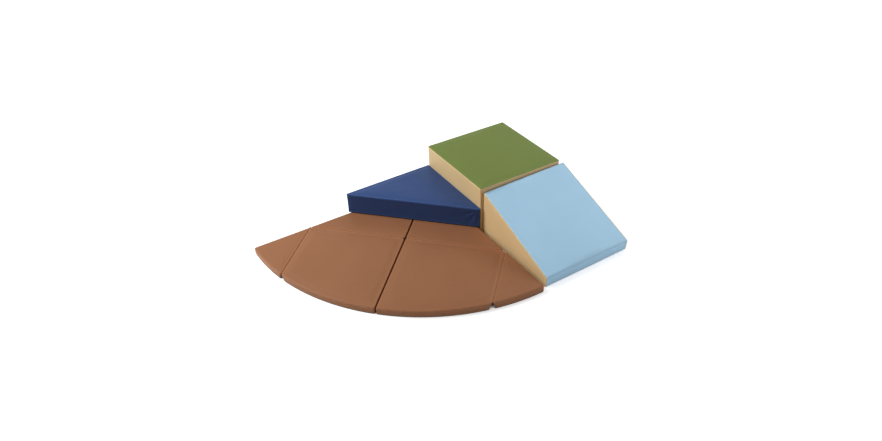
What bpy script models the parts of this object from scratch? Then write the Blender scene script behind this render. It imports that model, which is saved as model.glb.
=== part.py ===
"""Soft play foam climber for toddlers: four padded modules that stand in a corner.

A square platform, a ramp that slopes away from it, a triangular step and a
quarter-circle mat that folds along its seams.  Every module is a foam core in
a sewn vinyl cover.  Units are metres and +Z is up.  +X runs from the mat to
the platform and +Y to the back.  The origin is on the floor, under the middle
of the whole object.

The mat and the step are drawn in the mat's own frame, whose zero is the mat's
square corner, whose x runs along the mat's middle line and whose y runs to its
right half.  The left half is the mirror image of the right one.
"""

from dataclasses import dataclass, field, replace
from math import atan2, cos, pi, radians, sin, sqrt

import bmesh
import bpy
import numpy as np
from mathutils import Matrix, Vector

# Cloth and clearances
FABRIC = 0.0012             # vinyl-coated cloth with its backing
CLEARANCE = 0.0003          # between pieces that touch
BLOCK_ROLL = 0.0025         # radius of a block's sewn top edge
FOOT_ROLL = 0.0030          # radius of every lower edge
BLOCK_CORNER = 0.0060       # radius of a block's upright corners
SHARPEST = 0.0005           # radius that every corner keeps where it is moved in

# Platform
PLATFORM_WIDTH = 0.500
PLATFORM_DEPTH = 0.500
PLATFORM_HEIGHT = 0.272
PLATFORM_CROWN = 0.0030     # rise of the top towards its middle
PLATFORM_DRAW = 0.0012      # how far a free side draws in at half height

# Ramp
RAMP_LENGTH = 0.510
RAMP_WIDTH = 0.506
RAMP_HEIGHT = 0.248         # at the platform
RAMP_TOE = 0.057            # height of the blunt lower end
RAMP_TOE_LEAN = 0.005       # the toe's foot lies this far back
RAMP_TOE_CORNER = 0.012     # radius of the toe's upper edge
RAMP_OFFSET = 0.016         # its left side, from the platform's left side
RAMP_CROWN = 0.0030

# Step
STEP_LEG = 0.510
STEP_HEIGHT = 0.116
STEP_CROWN = 0.0030
STEP_DRAW = 0.0020
STEP_POINT_CORNER = 0.0050  # radius of its two sharp corners

# Mat
MAT_RADIUS = 1.029
MAT_THICKNESS = 0.038
CROSS_FOLD = 0.517          # cross seams, from the mat's zero
FLAP_FOLD = 0.506           # flap seams, from the mat's middle line
MAT_INSET = 0.008           # straight edges, from the platform's two planes
MAT_ROLL = 0.0070           # radius of a free upper edge
MAT_CROWN = 0.0030          # rise of the two centre panels
FLAP_CROWN = 0.0012
SEAM_ROLL = 0.0020          # radius of an upper edge at a seam
SEAM_LEAN = 0.010           # how far a panel's foot stands back from a top fold
PANEL_CORNER = 0.0070       # radius of a panel's square corners
POINT_CORNER = 0.0060       # radius of a panel's sharp corners
MEETING_CORNER = 0.0080     # radius of a centre panel's corner between two folds
FOLD_STRIP_WIDTH = 0.0040   # strip along a fold at the top of the mat
GROOVE_STRIP_WIDTH = 0.0050 # strip along the fold at the bottom of the centre seam
GROOVE_LEAN = 0.0015        # how far each wall of the centre groove leans back
GROOVE_ROLL = 0.0030        # radius of its upper edges

# Hook and loop strips
GRIP_THICKNESS = 0.0012
GRIP_WIDTH = 0.050
GRIP_LENGTH = 0.380
GRIP_EDGE_GAP = 0.040       # from a strip to the edge of the face that carries it
MAT_GRIP_LENGTH = 0.120
MAT_GRIP_REACH = 0.230      # middle of the strips under the step, from the mat's zero
MAT_GRIP_SEAM_GAP = 0.030   # from those strips to the centre seam

# Zips
ZIP_LENGTH = 0.440
ZIP_TAPE_WIDTH = 0.028
ZIP_TAPE_THICKNESS = 0.0008
ZIP_CHAIN_WIDTH = 0.0060
ZIP_CHAIN_HEIGHT = 0.0016
ZIP_EDGE_GAP = 0.012        # from the tape to the module's foot
STOP_LENGTH = 0.0030
STOP_OVERHANG = 0.0008      # how far an end stop is wider and higher than the chain
SLIDER_LENGTH = 0.014
SLIDER_WALL = 0.0016
BRIDGE_LENGTH = 0.0108
BRIDGE_WIDTH = 0.0030
BRIDGE_BAR = 0.0014
BRIDGE_OPENING = 0.0030     # height under the bridge's bar
PULL_LENGTH = 0.024
PULL_WIDTH = 0.0090
PULL_THICKNESS = 0.0016
PULL_RIM = 0.0020           # width of the material round the pull's eye
PULL_EYE_LENGTH = 0.0088
PULL_CORNER = 0.0030

# Counts, and shares of the sizes that they follow
EDGE_STEPS = 4
ROLL_STEPS = 2
SIDE_STEPS = 4
CROWN_SHARES = (0.86, 0.62, 0.32)
CORNER_SHARES = (0, 1 / 3, 2 / 3, 1)                # a corner's points, along its arc
SPLIT_CORNER_SHARES = (0, 0.25, 0.47, 0.53, 0.75, 1)  # with a seam across its middle
HOLLOW_SHARES = (0.82, 0.93)                        # a drawn-up underside's slope, from its middle

# Angles
MAT_TURN = radians(225)     # of the mat's frame in the plan
SQUARE = pi / 2
SHARP = radians(30)         # edges sharper than this stay crisp

# Colours, as red, green, blue in linear light, and roughness
FINISHES = {
    "green_vinyl": ((0.181, 0.246, 0.065), 0.55),
    "tan_vinyl": ((0.610, 0.402, 0.217), 0.55),
    "light_blue_vinyl": ((0.366, 0.539, 0.701), 0.55),
    "navy_vinyl": ((0.036, 0.059, 0.148), 0.50),
    "brown_vinyl": ((0.352, 0.162, 0.089), 0.55),
    "grip_cloth": ((0.050, 0.050, 0.055), 0.90),
    "foam": ((0.760, 0.700, 0.520), 0.95),
    "black_hook": ((0.020, 0.020, 0.022), 0.90),
    "zip_tape": ((0.030, 0.030, 0.034), 0.80),
    "zip_metal": ((0.420, 0.420, 0.430), 0.35),
}
METALS = ("zip_metal",)


# Outlines

@dataclass(frozen=True)
class Edge:
    """One side of an outline: a straight line, or an arc round the outline's zero."""

    reach: float                # distance of the line or the arc from zero
    bearing: float | None = 0.0 # direction of a line's outward normal; None for an arc
    roll: float = 0.0           # radius of its upper edge
    head_in: float = 0.0        # how far it stands back at the top
    foot_in: float = 0.0        # how far it stands back at the foot
    draw: float = 0.0           # how far it draws in at half height
    steps: int = 1              # stretches between its two corners
    corner: float = 0.0         # radius of the corner where it starts

    def normal(self, at=(0.0, 0.0)):
        """Return the outward direction, at a point where the edge is an arc."""
        turn = atan2(at[1], at[0]) if self.bearing is None else self.bearing
        return np.array((cos(turn), sin(turn)))


def crossing(first, first_in, second, second_in):
    """Return the point where two neighbouring edges meet, each moved in by its inset."""
    a, b = first.reach - first_in, second.reach - second_in
    if first.bearing is not None and second.bearing is not None:
        return np.linalg.solve(np.array((first.normal(), second.normal())), (a, b))
    line, distance, radius, way = (first, a, b, 1) if second.bearing is None else (second, b, a, -1)
    n = line.normal()
    along = np.array((-n[1], n[0]))
    return n * distance + along * way * sqrt(radius ** 2 - distance ** 2)


def outline(edges, insets, shares=CORNER_SHARES):
    """Return the rounded outline's points, anticlockwise, with its edges moved in.

    Every corner is an arc about the point where both edges, moved in by the
    corner's radius as well, would meet.
    """
    centres, radii = [], []
    for i, edge in enumerate(edges):
        before, inset, inset_before = edges[i - 1], insets[i], insets[i - 1]
        radius = max(edge.corner - (inset + inset_before) / 2, SHARPEST)
        radii.append(radius)
        centres.append(crossing(before, inset_before + radius, edge, inset + radius))
    points = []
    for i, edge in enumerate(edges):
        centre, radius, before = centres[i], radii[i], edges[i - 1]
        start, end = before.normal(centre), edge.normal(centre)
        turn = atan2(start[1], start[0])
        sweep = (atan2(end[1], end[0]) - turn) % (2 * pi)
        for share in shares:
            a = turn + sweep * share
            points.append(centre + radius * np.array((cos(a), sin(a))))
        following = centres[(i + 1) % len(edges)]
        next_radius = radii[(i + 1) % len(edges)]
        leave = points[-1]
        arrive = following + next_radius * edge.normal(following)
        for step in range(1, edge.steps):
            share = step / edge.steps
            if edge.bearing is None:
                first, last = atan2(leave[1], leave[0]), atan2(arrive[1], arrive[0])
                a = first + ((last - first + pi) % (2 * pi) - pi) * share
                points.append((edge.reach - insets[i]) * np.array((cos(a), sin(a))))
            else:
                points.append(leave + (arrive - leave) * share)
    return np.array(points)


def blended(edges, values, shares):
    """Return one value for each outline point, passing smoothly round the corners."""
    result = []
    for i, edge in enumerate(edges):
        result += [values[i - 1] + (values[i] - values[i - 1]) * share for share in shares]
        result += [values[i]] * (edge.steps - 1)
    return np.array(result)


# Padded modules

@dataclass(frozen=True)
class Padding:
    """A padded body: an outline with a foot, sides and a crowned top."""

    edges: tuple
    foot: float                 # height of its underside
    head: float                 # height of its upper edge
    crown: float = 0.0
    foot_crown: float = 0.0
    hollow: float = 0.0         # how far its underside is drawn up inside its rim
    foot_roll: float = FOOT_ROLL
    side_steps: int = SIDE_STEPS
    crown_shares: tuple = CROWN_SHARES
    corner_shares: tuple = CORNER_SHARES

    def ring(self, insets, heights):
        """Return a closed row of points: the outline at its insets, at its heights."""
        flat = outline(self.edges, insets, self.corner_shares)
        return np.column_stack((flat, np.broadcast_to(heights, len(flat))))

    def foot_rings(self, depth):
        """Return the rows of the rounded lower edge, from the underside outwards."""
        roll = self.foot_roll - depth
        rings = []
        for step in range(ROLL_STEPS + 1):
            a = SQUARE * (1 - step / ROLL_STEPS)
            insets = [e.foot_in + depth + roll * (1 - cos(a)) for e in self.edges]
            rings.append(self.ring(insets, self.foot + depth + roll * (1 - sin(a))))
        return rings

    def head_rings(self, depth):
        """Return the rows of the rounded upper edge, from the side inwards."""
        rolls = [e.roll - depth for e in self.edges]
        rings = []
        for step in range(ROLL_STEPS + 1):
            a = SQUARE * step / ROLL_STEPS
            insets = [e.head_in + depth + r * (1 - cos(a)) for e, r in zip(self.edges, rolls)]
            drop = blended(self.edges, rolls, self.corner_shares) * (1 - sin(a))
            rings.append(self.ring(insets, self.head - depth - drop))
        return rings

    def side_rings(self, depth, trim):
        """Return the rows of the sides, from the foot up, cut short by trim at both ends."""
        low = self.foot + self.foot_roll + trim
        rolls = blended(self.edges, [e.roll for e in self.edges], self.corner_shares)
        high = self.head - rolls - trim
        rings = []
        for step in range(self.side_steps + 1):
            share = step / self.side_steps
            swell = 1 - (1 - 2 * share) ** 2
            insets = [
                depth + e.foot_in + (e.head_in - e.foot_in) * share + e.draw * swell
                for e in self.edges
            ]
            rings.append(self.ring(insets, low + (high - low) * share))
        return rings

    def crown_rings(self, rim, rise):
        """Return the rows that close a top or an underside inside its rim."""
        middle = rim.mean(axis=0)
        rings = []
        for share in self.crown_shares:
            ring = middle + (rim - middle) * share
            ring[:, 2] += rise * (1 - share ** 2)
            rings.append(ring)
        return rings, middle + np.array((0, 0, rise))

    def underside(self, rim):
        """Return the rows that close the underside from its middle, and the middle."""
        crown, middle = self.crown_rings(rim, -self.foot_crown)
        if not self.hollow:
            return crown[-1:], middle
        lift = np.array((0, 0, self.hollow))
        inner, outer = (middle + (rim - middle) * share for share in HOLLOW_SHARES)
        return [inner + lift, outer], middle + lift

    def top_cover(self, name):
        """Return the cover of the top, which turns down over the upper edge."""
        outer, inner = self.head_rings(0), self.head_rings(FABRIC)
        outer_crown, outer_middle = self.crown_rings(outer[-1], self.crown)
        inner_crown, inner_middle = self.crown_rings(inner[-1], self.crown)
        rows = outer_crown[::-1] + outer[::-1] + inner + inner_crown
        return tube(name, rows, outer_middle, inner_middle)

    def base_cover(self, name):
        """Return the cover of the underside, which turns up over the lower edge."""
        outer, inner = self.foot_rings(0), self.foot_rings(FABRIC)
        outer_crown, outer_middle = self.underside(outer[0])
        inner_crown, inner_middle = self.underside(inner[0])
        rows = outer_crown + outer + inner[::-1] + inner_crown[::-1]
        return tube(name, rows, outer_middle, inner_middle)

    def side_cover(self, name, points=None):
        """Return the cover of the sides, all the way round or along some of the outline."""
        outer, inner = self.side_rings(0, CLEARANCE), self.side_rings(FABRIC, CLEARANCE)
        if points is None:
            return torus(name, outer + inner[::-1])
        rows = np.array(outer + inner[::-1])[:, points]
        return strip(name, rows.swapaxes(0, 1))

    def foam(self, name):
        """Return the core, which fills the cover with a clearance all round."""
        depth = FABRIC + CLEARANCE
        foot, head = self.foot_rings(depth), self.head_rings(depth)
        foot_crown, foot_middle = self.underside(foot[0])
        head_crown, head_middle = self.crown_rings(head[-1], self.crown)
        rows = foot_crown + foot + self.side_rings(depth, 0)[1:-1] + head + head_crown
        return tube(name, rows, foot_middle, head_middle)


# Meshes

def new_object(name, vertices, faces, finish):
    """Return a smooth-shaded object whose faces all point outwards."""
    mesh = bpy.data.meshes.new(name)
    mesh.from_pydata([tuple(v) for v in vertices], [], faces)
    work = bmesh.new()
    work.from_mesh(mesh)
    bmesh.ops.recalc_face_normals(work, faces=work.faces)
    work.to_mesh(mesh)
    work.free()
    mesh.shade_smooth()
    mesh.set_sharp_from_angle(angle=SHARP)
    mesh.materials.append(material(finish))
    thing = bpy.data.objects.new(name, mesh)
    bpy.context.scene.collection.objects.link(thing)
    return thing


def bands(rows, count, closed=True):
    """Return the four-sided faces between neighbouring rows of count points."""
    stop = count if closed else count - 1
    return [
        (r * count + i, r * count + (i + 1) % count, (r + 1) * count + (i + 1) % count,
         (r + 1) * count + i)
        for r in range(rows - 1) for i in range(stop)
    ]


def tube(name, rows, start, end):
    """Return vertices and faces of rows that are closed by a point at either end."""
    count = len(rows[0])
    vertices = list(np.concatenate(rows)) + [start, end]
    faces = bands(len(rows), count)
    first, last = len(rows) * count, (len(rows) - 1) * count
    faces += [(first, (i + 1) % count, i) for i in range(count)]
    faces += [(first + 1, last + i, last + (i + 1) % count) for i in range(count)]
    return name, vertices, faces


def torus(name, rows):
    """Return vertices and faces of rows whose last one joins the first."""
    count = len(rows[0])
    faces = bands(len(rows), count)
    last = (len(rows) - 1) * count
    faces += [(last + i, last + (i + 1) % count, (i + 1) % count, i) for i in range(count)]
    return name, list(np.concatenate(rows)), faces


def strip(name, sections):
    """Return vertices and faces of closed sections in a row, with four-sided end faces."""
    count = len(sections[0])
    faces = bands(len(sections), count)
    for base in (0, (len(sections) - 1) * count):
        faces += [
            (base + i, base + i + 1, base + count - 2 - i, base + count - 1 - i)
            for i in range(count // 2 - 1)
        ]
    return name, list(np.concatenate(sections)), faces


def material(finish):
    """Return the material of that name, making it the first time."""
    if finish in bpy.data.materials:
        return bpy.data.materials[finish]
    colour, roughness = FINISHES[finish]
    new = bpy.data.materials.new(finish)
    new.use_nodes = True
    shader = new.node_tree.nodes["Principled BSDF"]
    shader.inputs["Base Color"].default_value = (*colour, 1)
    shader.inputs["Roughness"].default_value = roughness
    shader.inputs["Metallic"].default_value = 1 if finish in METALS else 0
    new.diffuse_color = (*colour, 1)
    return new


# Placing

@dataclass
class Place:
    """Where a module's pieces hang: the empty that carries them, and the module's frame."""

    carrier: object
    frame: Matrix
    carrier_world: Matrix = field(default_factory=Matrix)

    def add(self, solid, finish, mirror=False):
        """Make one piece, modelled in the module's frame, and hang it on the carrier."""
        name, vertices, faces = solid
        vertices = np.array(vertices) * ((1, -1, 1) if mirror else (1, 1, 1))
        thing = new_object(name, vertices, faces, finish)
        self.hang(thing, self.frame)
        return thing

    def hang(self, thing, world):
        """Parent a thing to the carrier, at a place given in the world."""
        thing.parent = self.carrier
        thing.matrix_parent_inverse = self.carrier_world.inverted()
        thing.location, thing.rotation_euler = world.translation, world.to_euler()

    def joint(self, name, at, frame=None):
        """Return a place on a new empty, which lies on a joint's axis."""
        empty = bpy.data.objects.new(name, None)
        empty.empty_display_size = BLOCK_CORNER
        bpy.context.scene.collection.objects.link(empty)
        world = Matrix.Translation(self.frame @ Vector(at)) @ self.frame.to_3x3().to_4x4()
        self.hang(empty, world)
        return Place(empty, self.frame if frame is None else frame, world)


def rectangle(low, high, corner, rolls, draws=(0, 0, 0, 0), steps=EDGE_STEPS):
    """Return the edges of a rectangle: right, far, left and near sides."""
    reaches = (high[0], high[1], -low[0], -low[1])
    return tuple(
        Edge(reach, SQUARE * i, roll=rolls, draw=draws[i], steps=steps, corner=corner)
        for i, reach in enumerate(reaches)
    )


def slab(name, low, high):
    """Return a flat strip between two opposite corners."""
    (x0, y0, z0), (x1, y1, z1) = low, high
    ring = np.array(((x0, y0), (x1, y0), (x1, y1), (x0, y1)))
    rows = [np.column_stack((ring, np.full(len(ring), z))) for z in (z0, z1)]
    faces = bands(2, len(ring)) + [(0, 1, 2, 3), (4, 5, 6, 7)]
    return name, list(np.concatenate(rows)), faces


# Zips

CHAIN_TOP = ZIP_TAPE_THICKNESS + ZIP_CHAIN_HEIGHT
ROOF_UNDER = CHAIN_TOP + CLEARANCE
ROOF_TOP = ROOF_UNDER + SLIDER_WALL
PIN_HEIGHT = ROOF_TOP + BRIDGE_OPENING / 2
STOP_REACH = ZIP_LENGTH / 2
CHAIN_REACH = STOP_REACH - STOP_LENGTH - STOP_OVERHANG
SLIDER_START = -CHAIN_REACH + CLEARANCE + SLIDER_LENGTH / 2


def zip_tape(name):
    """Return the tape with its chain and end stops, flat on the zip frame's floor.

    The zip's own frame has x along the chain, z out of the cover and its zero at
    the middle of the tape's back.
    """
    half, chain = ZIP_TAPE_WIDTH / 2, ZIP_CHAIN_WIDTH / 2
    stations = (
        (-STOP_REACH, STOP_OVERHANG), (STOP_LENGTH - STOP_REACH, STOP_OVERHANG),
        (-CHAIN_REACH, 0), (CHAIN_REACH, 0),
        (STOP_REACH - STOP_LENGTH, STOP_OVERHANG), (STOP_REACH, STOP_OVERHANG),
    )
    rows = []
    for at, extra in stations:
        wide, top = chain + extra, CHAIN_TOP + extra
        shoulder = (ZIP_TAPE_THICKNESS + top) / 2
        profile = (
            (-half, 0), (half, 0), (half, ZIP_TAPE_THICKNESS), (wide, ZIP_TAPE_THICKNESS),
            (wide, shoulder), (chain / 2, top), (-chain / 2, top), (-wide, shoulder),
            (-wide, ZIP_TAPE_THICKNESS), (-half, ZIP_TAPE_THICKNESS),
        )
        rows.append([(at, y, z) for y, z in profile])
    count = len(rows[0])
    faces = bands(len(rows), count)
    faces += [tuple(range(count)), tuple(range((len(rows) - 1) * count, len(rows) * count))]
    return name, [p for row in rows for p in row], faces


def zip_slider(name):
    """Return the slider: a channel over the chain with a bridge for the pull."""
    inside = ZIP_CHAIN_WIDTH / 2 + CLEARANCE
    outside = inside + SLIDER_WALL
    low = ZIP_TAPE_THICKNESS + CLEARANCE
    shape = (
        (-outside, low), (-inside, low), (-inside, ROOF_UNDER), (inside, ROOF_UNDER),
        (inside, low), (outside, low), (outside, ROOF_TOP), (-outside, ROOF_TOP),
    )
    half = SLIDER_LENGTH / 2
    channel = prism([(x, y, z) for x in (-half, half) for y, z in shape], len(shape))
    end, bar = BRIDGE_LENGTH / 2, BRIDGE_BAR
    under, top = ROOF_TOP + BRIDGE_OPENING, ROOF_TOP + BRIDGE_OPENING + bar
    root = ROOF_TOP - SLIDER_WALL / 2
    arch = (
        (-end, root), (-end + bar, root), (-end + bar, under), (end - bar, under),
        (end - bar, root), (end, root), (end, top - bar / 2), (end - bar / 2, top),
        (-end + bar / 2, top), (-end, top - bar / 2),
    )
    side = BRIDGE_WIDTH / 2
    bridge = prism([(x, y, z) for y in (-side, side) for x, z in arch], len(arch))
    return merged(name, channel, bridge, "UNION")


def zip_pull(name):
    """Return the pull tab: a flat tongue with an eye, lying back along the chain."""
    low, high = PIN_HEIGHT - PULL_THICKNESS / 2, PIN_HEIGHT + PULL_THICKNESS / 2
    half, near = PULL_WIDTH / 2, PULL_RIM / 2
    tail = near - PULL_LENGTH
    shape = (
        (near, -half), (near, half), (tail + PULL_CORNER, half), (tail, half - PULL_CORNER),
        (tail, -half + PULL_CORNER), (tail + PULL_CORNER, -half),
    )
    tongue = prism([(x, y, z) for z in (low, high) for x, y in shape], len(shape))
    eye = half - PULL_RIM
    far = -near - PULL_EYE_LENGTH
    hole = ((-near, -eye), (-near, eye), (far, eye), (far, -eye))
    past = (low - PULL_THICKNESS, high + PULL_THICKNESS)
    cutter = prism([(x, y, z) for z in past for x, y in hole], len(hole))
    return merged(name, tongue, cutter, "DIFFERENCE")


def prism(points, count):
    """Return vertices and faces of two equal rows of points, closed at both ends."""
    faces = bands(2, count) + [tuple(range(count)), tuple(range(count, 2 * count))]
    return "", points, faces


def merged(name, body, tool, operation):
    """Return the union of two solids, or the first with the second cut out of it."""
    first, second = (new_object(name, v, f, "zip_metal") for _, v, f in (body, tool))
    modifier = first.modifiers.new("join", "BOOLEAN")
    modifier.object, modifier.operation, modifier.solver = second, operation, "EXACT"
    graph = bpy.context.evaluated_depsgraph_get()
    mesh = first.evaluated_get(graph).to_mesh()
    vertices = [tuple(v.co) for v in mesh.vertices]
    faces = [tuple(p.vertices) for p in mesh.polygons]
    for thing in (first, second):
        bpy.data.objects.remove(thing)
    return name, vertices, faces


def add_zip(place, prefix, at, along, out):
    """Sew a zip on a module: its tape, then a slider that runs and a pull that turns."""
    side = Vector(out).cross(Vector(along))
    turn = Matrix((along, side, out)).transposed().to_4x4()
    frame = place.frame @ Matrix.Translation(Vector(at) + Vector(out) * CLEARANCE) @ turn
    sewn = Place(place.carrier, frame, place.carrier_world)
    sewn.add(zip_tape(f"{prefix}_zip"), "zip_tape")
    start = Matrix.Translation((SLIDER_START, 0, 0))
    runner = sewn.joint(f"{prefix}_zip_slide", (SLIDER_START, 0, 0), frame @ start)
    runner.add(zip_slider(f"{prefix}_zip_slider"), "zip_metal")
    swinging = runner.joint(f"{prefix}_zip_pull_turn", (0, 0, PIN_HEIGHT))
    swinging.add(zip_pull(f"{prefix}_zip_pull"), "zip_metal")


# Platform

GRIP_STACK = 2 * GRIP_THICKNESS + 3 * CLEARANCE


def level_grip(name, face, depth):
    """Return the level strip of hook or loop between the platform and the ramp."""
    middle, top = (RAMP_OFFSET + PLATFORM_WIDTH) / 2, RAMP_HEIGHT - GRIP_EDGE_GAP
    near = (middle - GRIP_LENGTH / 2, face, top - GRIP_WIDTH)
    return slab(name, near, (middle + GRIP_LENGTH / 2, face + depth, top))


def build_platform(place):
    """Build the square platform, whose left and back sides are the plan's two planes."""
    edges = rectangle(
        (0, -PLATFORM_DEPTH), (PLATFORM_WIDTH, 0), BLOCK_CORNER, BLOCK_ROLL,
        draws=(0, 0, PLATFORM_DRAW, 0),
    )
    block = Padding(edges, 0, PLATFORM_HEIGHT, crown=PLATFORM_CROWN)
    place.add(block.foam("platform_foam"), "foam")
    place.add(block.top_cover("platform_top_cover"), "green_vinyl")
    place.add(block.side_cover("platform_side_cover"), "tan_vinyl")
    place.add(block.base_cover("platform_base_cover"), "grip_cloth")
    front = -PLATFORM_DEPTH - CLEARANCE
    place.add(level_grip("platform_hook_strip", front, -GRIP_THICKNESS), "black_hook")
    middle = (PLATFORM_WIDTH / 2, 0, ZIP_EDGE_GAP + ZIP_TAPE_WIDTH / 2)
    add_zip(place, "platform", middle, along=(-1, 0, 0), out=(0, 1, 0))


# Ramp

RAMP_BACK = -PLATFORM_DEPTH - GRIP_STACK
RAMP_RIGHT = RAMP_OFFSET + RAMP_WIDTH


def ramp_edges():
    """Return the ramp's side view: x towards the toe, y up, and its zero at the back foot."""
    drop, run = RAMP_HEIGHT - RAMP_TOE, RAMP_LENGTH
    slope = atan2(drop, run)
    toe = atan2(RAMP_TOE_LEAN, RAMP_TOE)
    corners = (BLOCK_CORNER, BLOCK_CORNER, RAMP_TOE_CORNER, BLOCK_CORNER)
    base = Edge(0, -SQUARE, steps=EDGE_STEPS)
    front = Edge(run * cos(toe) - RAMP_TOE * sin(toe), -toe, draw=-RAMP_CROWN / 2, steps=2)
    slide = Edge(RAMP_HEIGHT * cos(slope), SQUARE - slope, draw=-RAMP_CROWN, steps=EDGE_STEPS)
    back = Edge(0, pi, steps=EDGE_STEPS)
    return tuple(
        replace(edge, corner=corner, roll=BLOCK_ROLL)
        for edge, corner in zip((base, front, slide, back), corners)
    )


def ramp_stretches(edges):
    """Return the outline points of the base, the slide with the toe, and the back.

    Each stretch runs from the middle of the corner where its first edge starts to
    the middle of the corner where its last edge ends.
    """
    starts, count = [], 0
    for edge in edges:
        starts.append(count)
        count += len(SPLIT_CORNER_SHARES) + edge.steps - 1
    half = len(SPLIT_CORNER_SHARES) // 2
    base, front, _, back = starts

    def stretch(first, last):
        """Return the points from after one corner's middle to before the other's."""
        stop = last + half if last > first else last + half + count
        return [i % count for i in range(first + half, stop)]

    return stretch(base, front), stretch(front, back), stretch(back, base)


def build_ramp(place):
    """Build the ramp on its side: its outline is its side view and its height its width."""
    edges = ramp_edges()
    upright = Matrix(((0, 0, -1), (-1, 0, 0), (0, 1, 0))).to_4x4()
    frame = place.frame @ Matrix.Translation((RAMP_RIGHT, RAMP_BACK, 0)) @ upright
    lying = Place(place.carrier, frame, place.carrier_world)
    block = Padding(
        edges, 0, RAMP_WIDTH, foot_roll=BLOCK_ROLL, side_steps=2 * SIDE_STEPS - 2,
        crown_shares=CROWN_SHARES[1:2], corner_shares=SPLIT_CORNER_SHARES,
    )
    base, slide, back = ramp_stretches(edges)
    lying.add(block.foam("ramp_foam"), "foam")
    lying.add(block.top_cover("ramp_left_cover"), "tan_vinyl")
    lying.add(block.base_cover("ramp_right_cover"), "tan_vinyl")
    lying.add(block.side_cover("ramp_base_cover", base), "grip_cloth")
    lying.add(block.side_cover("ramp_slide_cover", slide), "light_blue_vinyl")
    lying.add(block.side_cover("ramp_back_cover", back), "tan_vinyl")
    loop = level_grip("ramp_loop_strip", RAMP_BACK + CLEARANCE, GRIP_THICKNESS)
    place.add(loop, "black_hook")
    middle = (RAMP_RIGHT, RAMP_BACK - RAMP_LENGTH / 2, ZIP_EDGE_GAP + ZIP_TAPE_WIDTH / 2)
    add_zip(place, "ramp", middle, along=(0, 1, 0), out=(1, 0, 0))


# Mat

MAT_TOP = MAT_THICKNESS + CLEARANCE           # height of the top folds' axes
GROOVE_HALF = GROOVE_STRIP_WIDTH / 2 + CLEARANCE
STRIP_HALF = FOLD_STRIP_WIDTH / 2 + CLEARANCE
FOLD_AXIS = (FOLD_STRIP_WIDTH + CLEARANCE) / 2  # from the middle of a fold to its axis
BORDER = MAT_INSET * sqrt(2)                  # where the border crosses the middle line
DIAGONAL = SQUARE / 2


def seam_edge(reach, bearing, corner, steps=3):
    """Return an edge along a fold at the top of the mat."""
    return Edge(
        reach, bearing, roll=SEAM_ROLL, foot_in=SEAM_LEAN, steps=steps, corner=corner
    )


def groove_edge(corner, steps=3):
    """Return the edge along the centre groove, open at the top."""
    return Edge(
        -GROOVE_HALF, -SQUARE, roll=GROOVE_ROLL, head_in=GROOVE_LEAN,
        steps=steps, corner=corner,
    )


def border_edge(corner):
    """Return the straight free border of the right half."""
    return Edge(-MAT_INSET, SQUARE + DIAGONAL, roll=MAT_ROLL, steps=3, corner=corner)


def arc_edge(corner, steps):
    """Return the free edge along the mat's arc."""
    return Edge(MAT_RADIUS, None, roll=MAT_ROLL, steps=steps, corner=corner)


def inner_panel():
    """Return the right inner triangle, between the centre seam, a cross seam and the border."""
    edges = (
        groove_edge(POINT_CORNER),
        seam_edge(CROSS_FOLD - STRIP_HALF, 0, PANEL_CORNER),
        border_edge(POINT_CORNER),
    )
    return Padding(edges, 0, MAT_THICKNESS, side_steps=1, crown_shares=CROWN_SHARES[1:2])


def centre_panel():
    """Return the right centre panel, between the cross seam, the arc and the flap seam."""
    edges = (
        groove_edge(PANEL_CORNER),
        arc_edge(PANEL_CORNER, 2 * EDGE_STEPS - 2),
        seam_edge(FLAP_FOLD - STRIP_HALF, SQUARE, PANEL_CORNER),
        seam_edge(-CROSS_FOLD - STRIP_HALF, pi, MEETING_CORNER),
    )
    return Padding(edges, 0, MAT_THICKNESS, crown=MAT_CROWN, side_steps=1)


def flap_panel():
    """Return the right side flap, between the flap seam, the arc and the border."""
    edges = (
        seam_edge(-FLAP_FOLD - STRIP_HALF, -SQUARE, POINT_CORNER),
        arc_edge(PANEL_CORNER, EDGE_STEPS - 1),
        border_edge(PANEL_CORNER),
    )
    return Padding(
        edges, 0, MAT_THICKNESS, crown=FLAP_CROWN, side_steps=1, crown_shares=CROWN_SHARES[1:]
    )


def add_panel(place, name, panel, mirror):
    """Add one panel of the mat: its foam, top cover, side band and base cover."""
    place.add(panel.foam(f"{name}_foam"), "foam", mirror)
    place.add(panel.top_cover(f"{name}_top_cover"), "brown_vinyl", mirror)
    place.add(panel.side_cover(f"{name}_side_band"), "brown_vinyl", mirror)
    place.add(panel.base_cover(f"{name}_base_cover"), "grip_cloth", mirror)


def add_fold_strips(place, side, mirror):
    """Add the strips along one half's cross seam and flap seam, on its centre panel."""
    half, low = FOLD_STRIP_WIDTH / 2, MAT_THICKNESS - FABRIC
    gap = PANEL_CORNER
    cross = slab(
        f"{side}_cross_fold_strip", (CROSS_FOLD - half, GROOVE_HALF + gap, low),
        (CROSS_FOLD + half, CROSS_FOLD - BORDER - gap, MAT_THICKNESS),
    )
    flap_end = sqrt(MAT_RADIUS ** 2 - FLAP_FOLD ** 2)
    flap = slab(
        f"{side}_flap_fold_strip", (FLAP_FOLD + BORDER + gap, FLAP_FOLD - half, low),
        (flap_end - gap, FLAP_FOLD + half, MAT_THICKNESS),
    )
    place.add(cross, "brown_vinyl", mirror)
    place.add(flap, "brown_vinyl", mirror)


def groove_strip(name, start, end):
    """Return a strip near the bottom of the centre groove."""
    half = GROOVE_STRIP_WIDTH / 2
    return slab(name, (start, -half, FOOT_ROLL - FABRIC), (end, half, FOOT_ROLL))


def mat_grip(name, low):
    """Return a strip of hook or loop beside the centre seam, under the step."""
    start = GROOVE_HALF + MAT_GRIP_SEAM_GAP
    half = GRIP_WIDTH / 2
    return slab(
        name, (MAT_GRIP_REACH - half, start, low),
        (MAT_GRIP_REACH + half, start + MAT_GRIP_LENGTH, low + GRIP_THICKNESS),
    )


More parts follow.
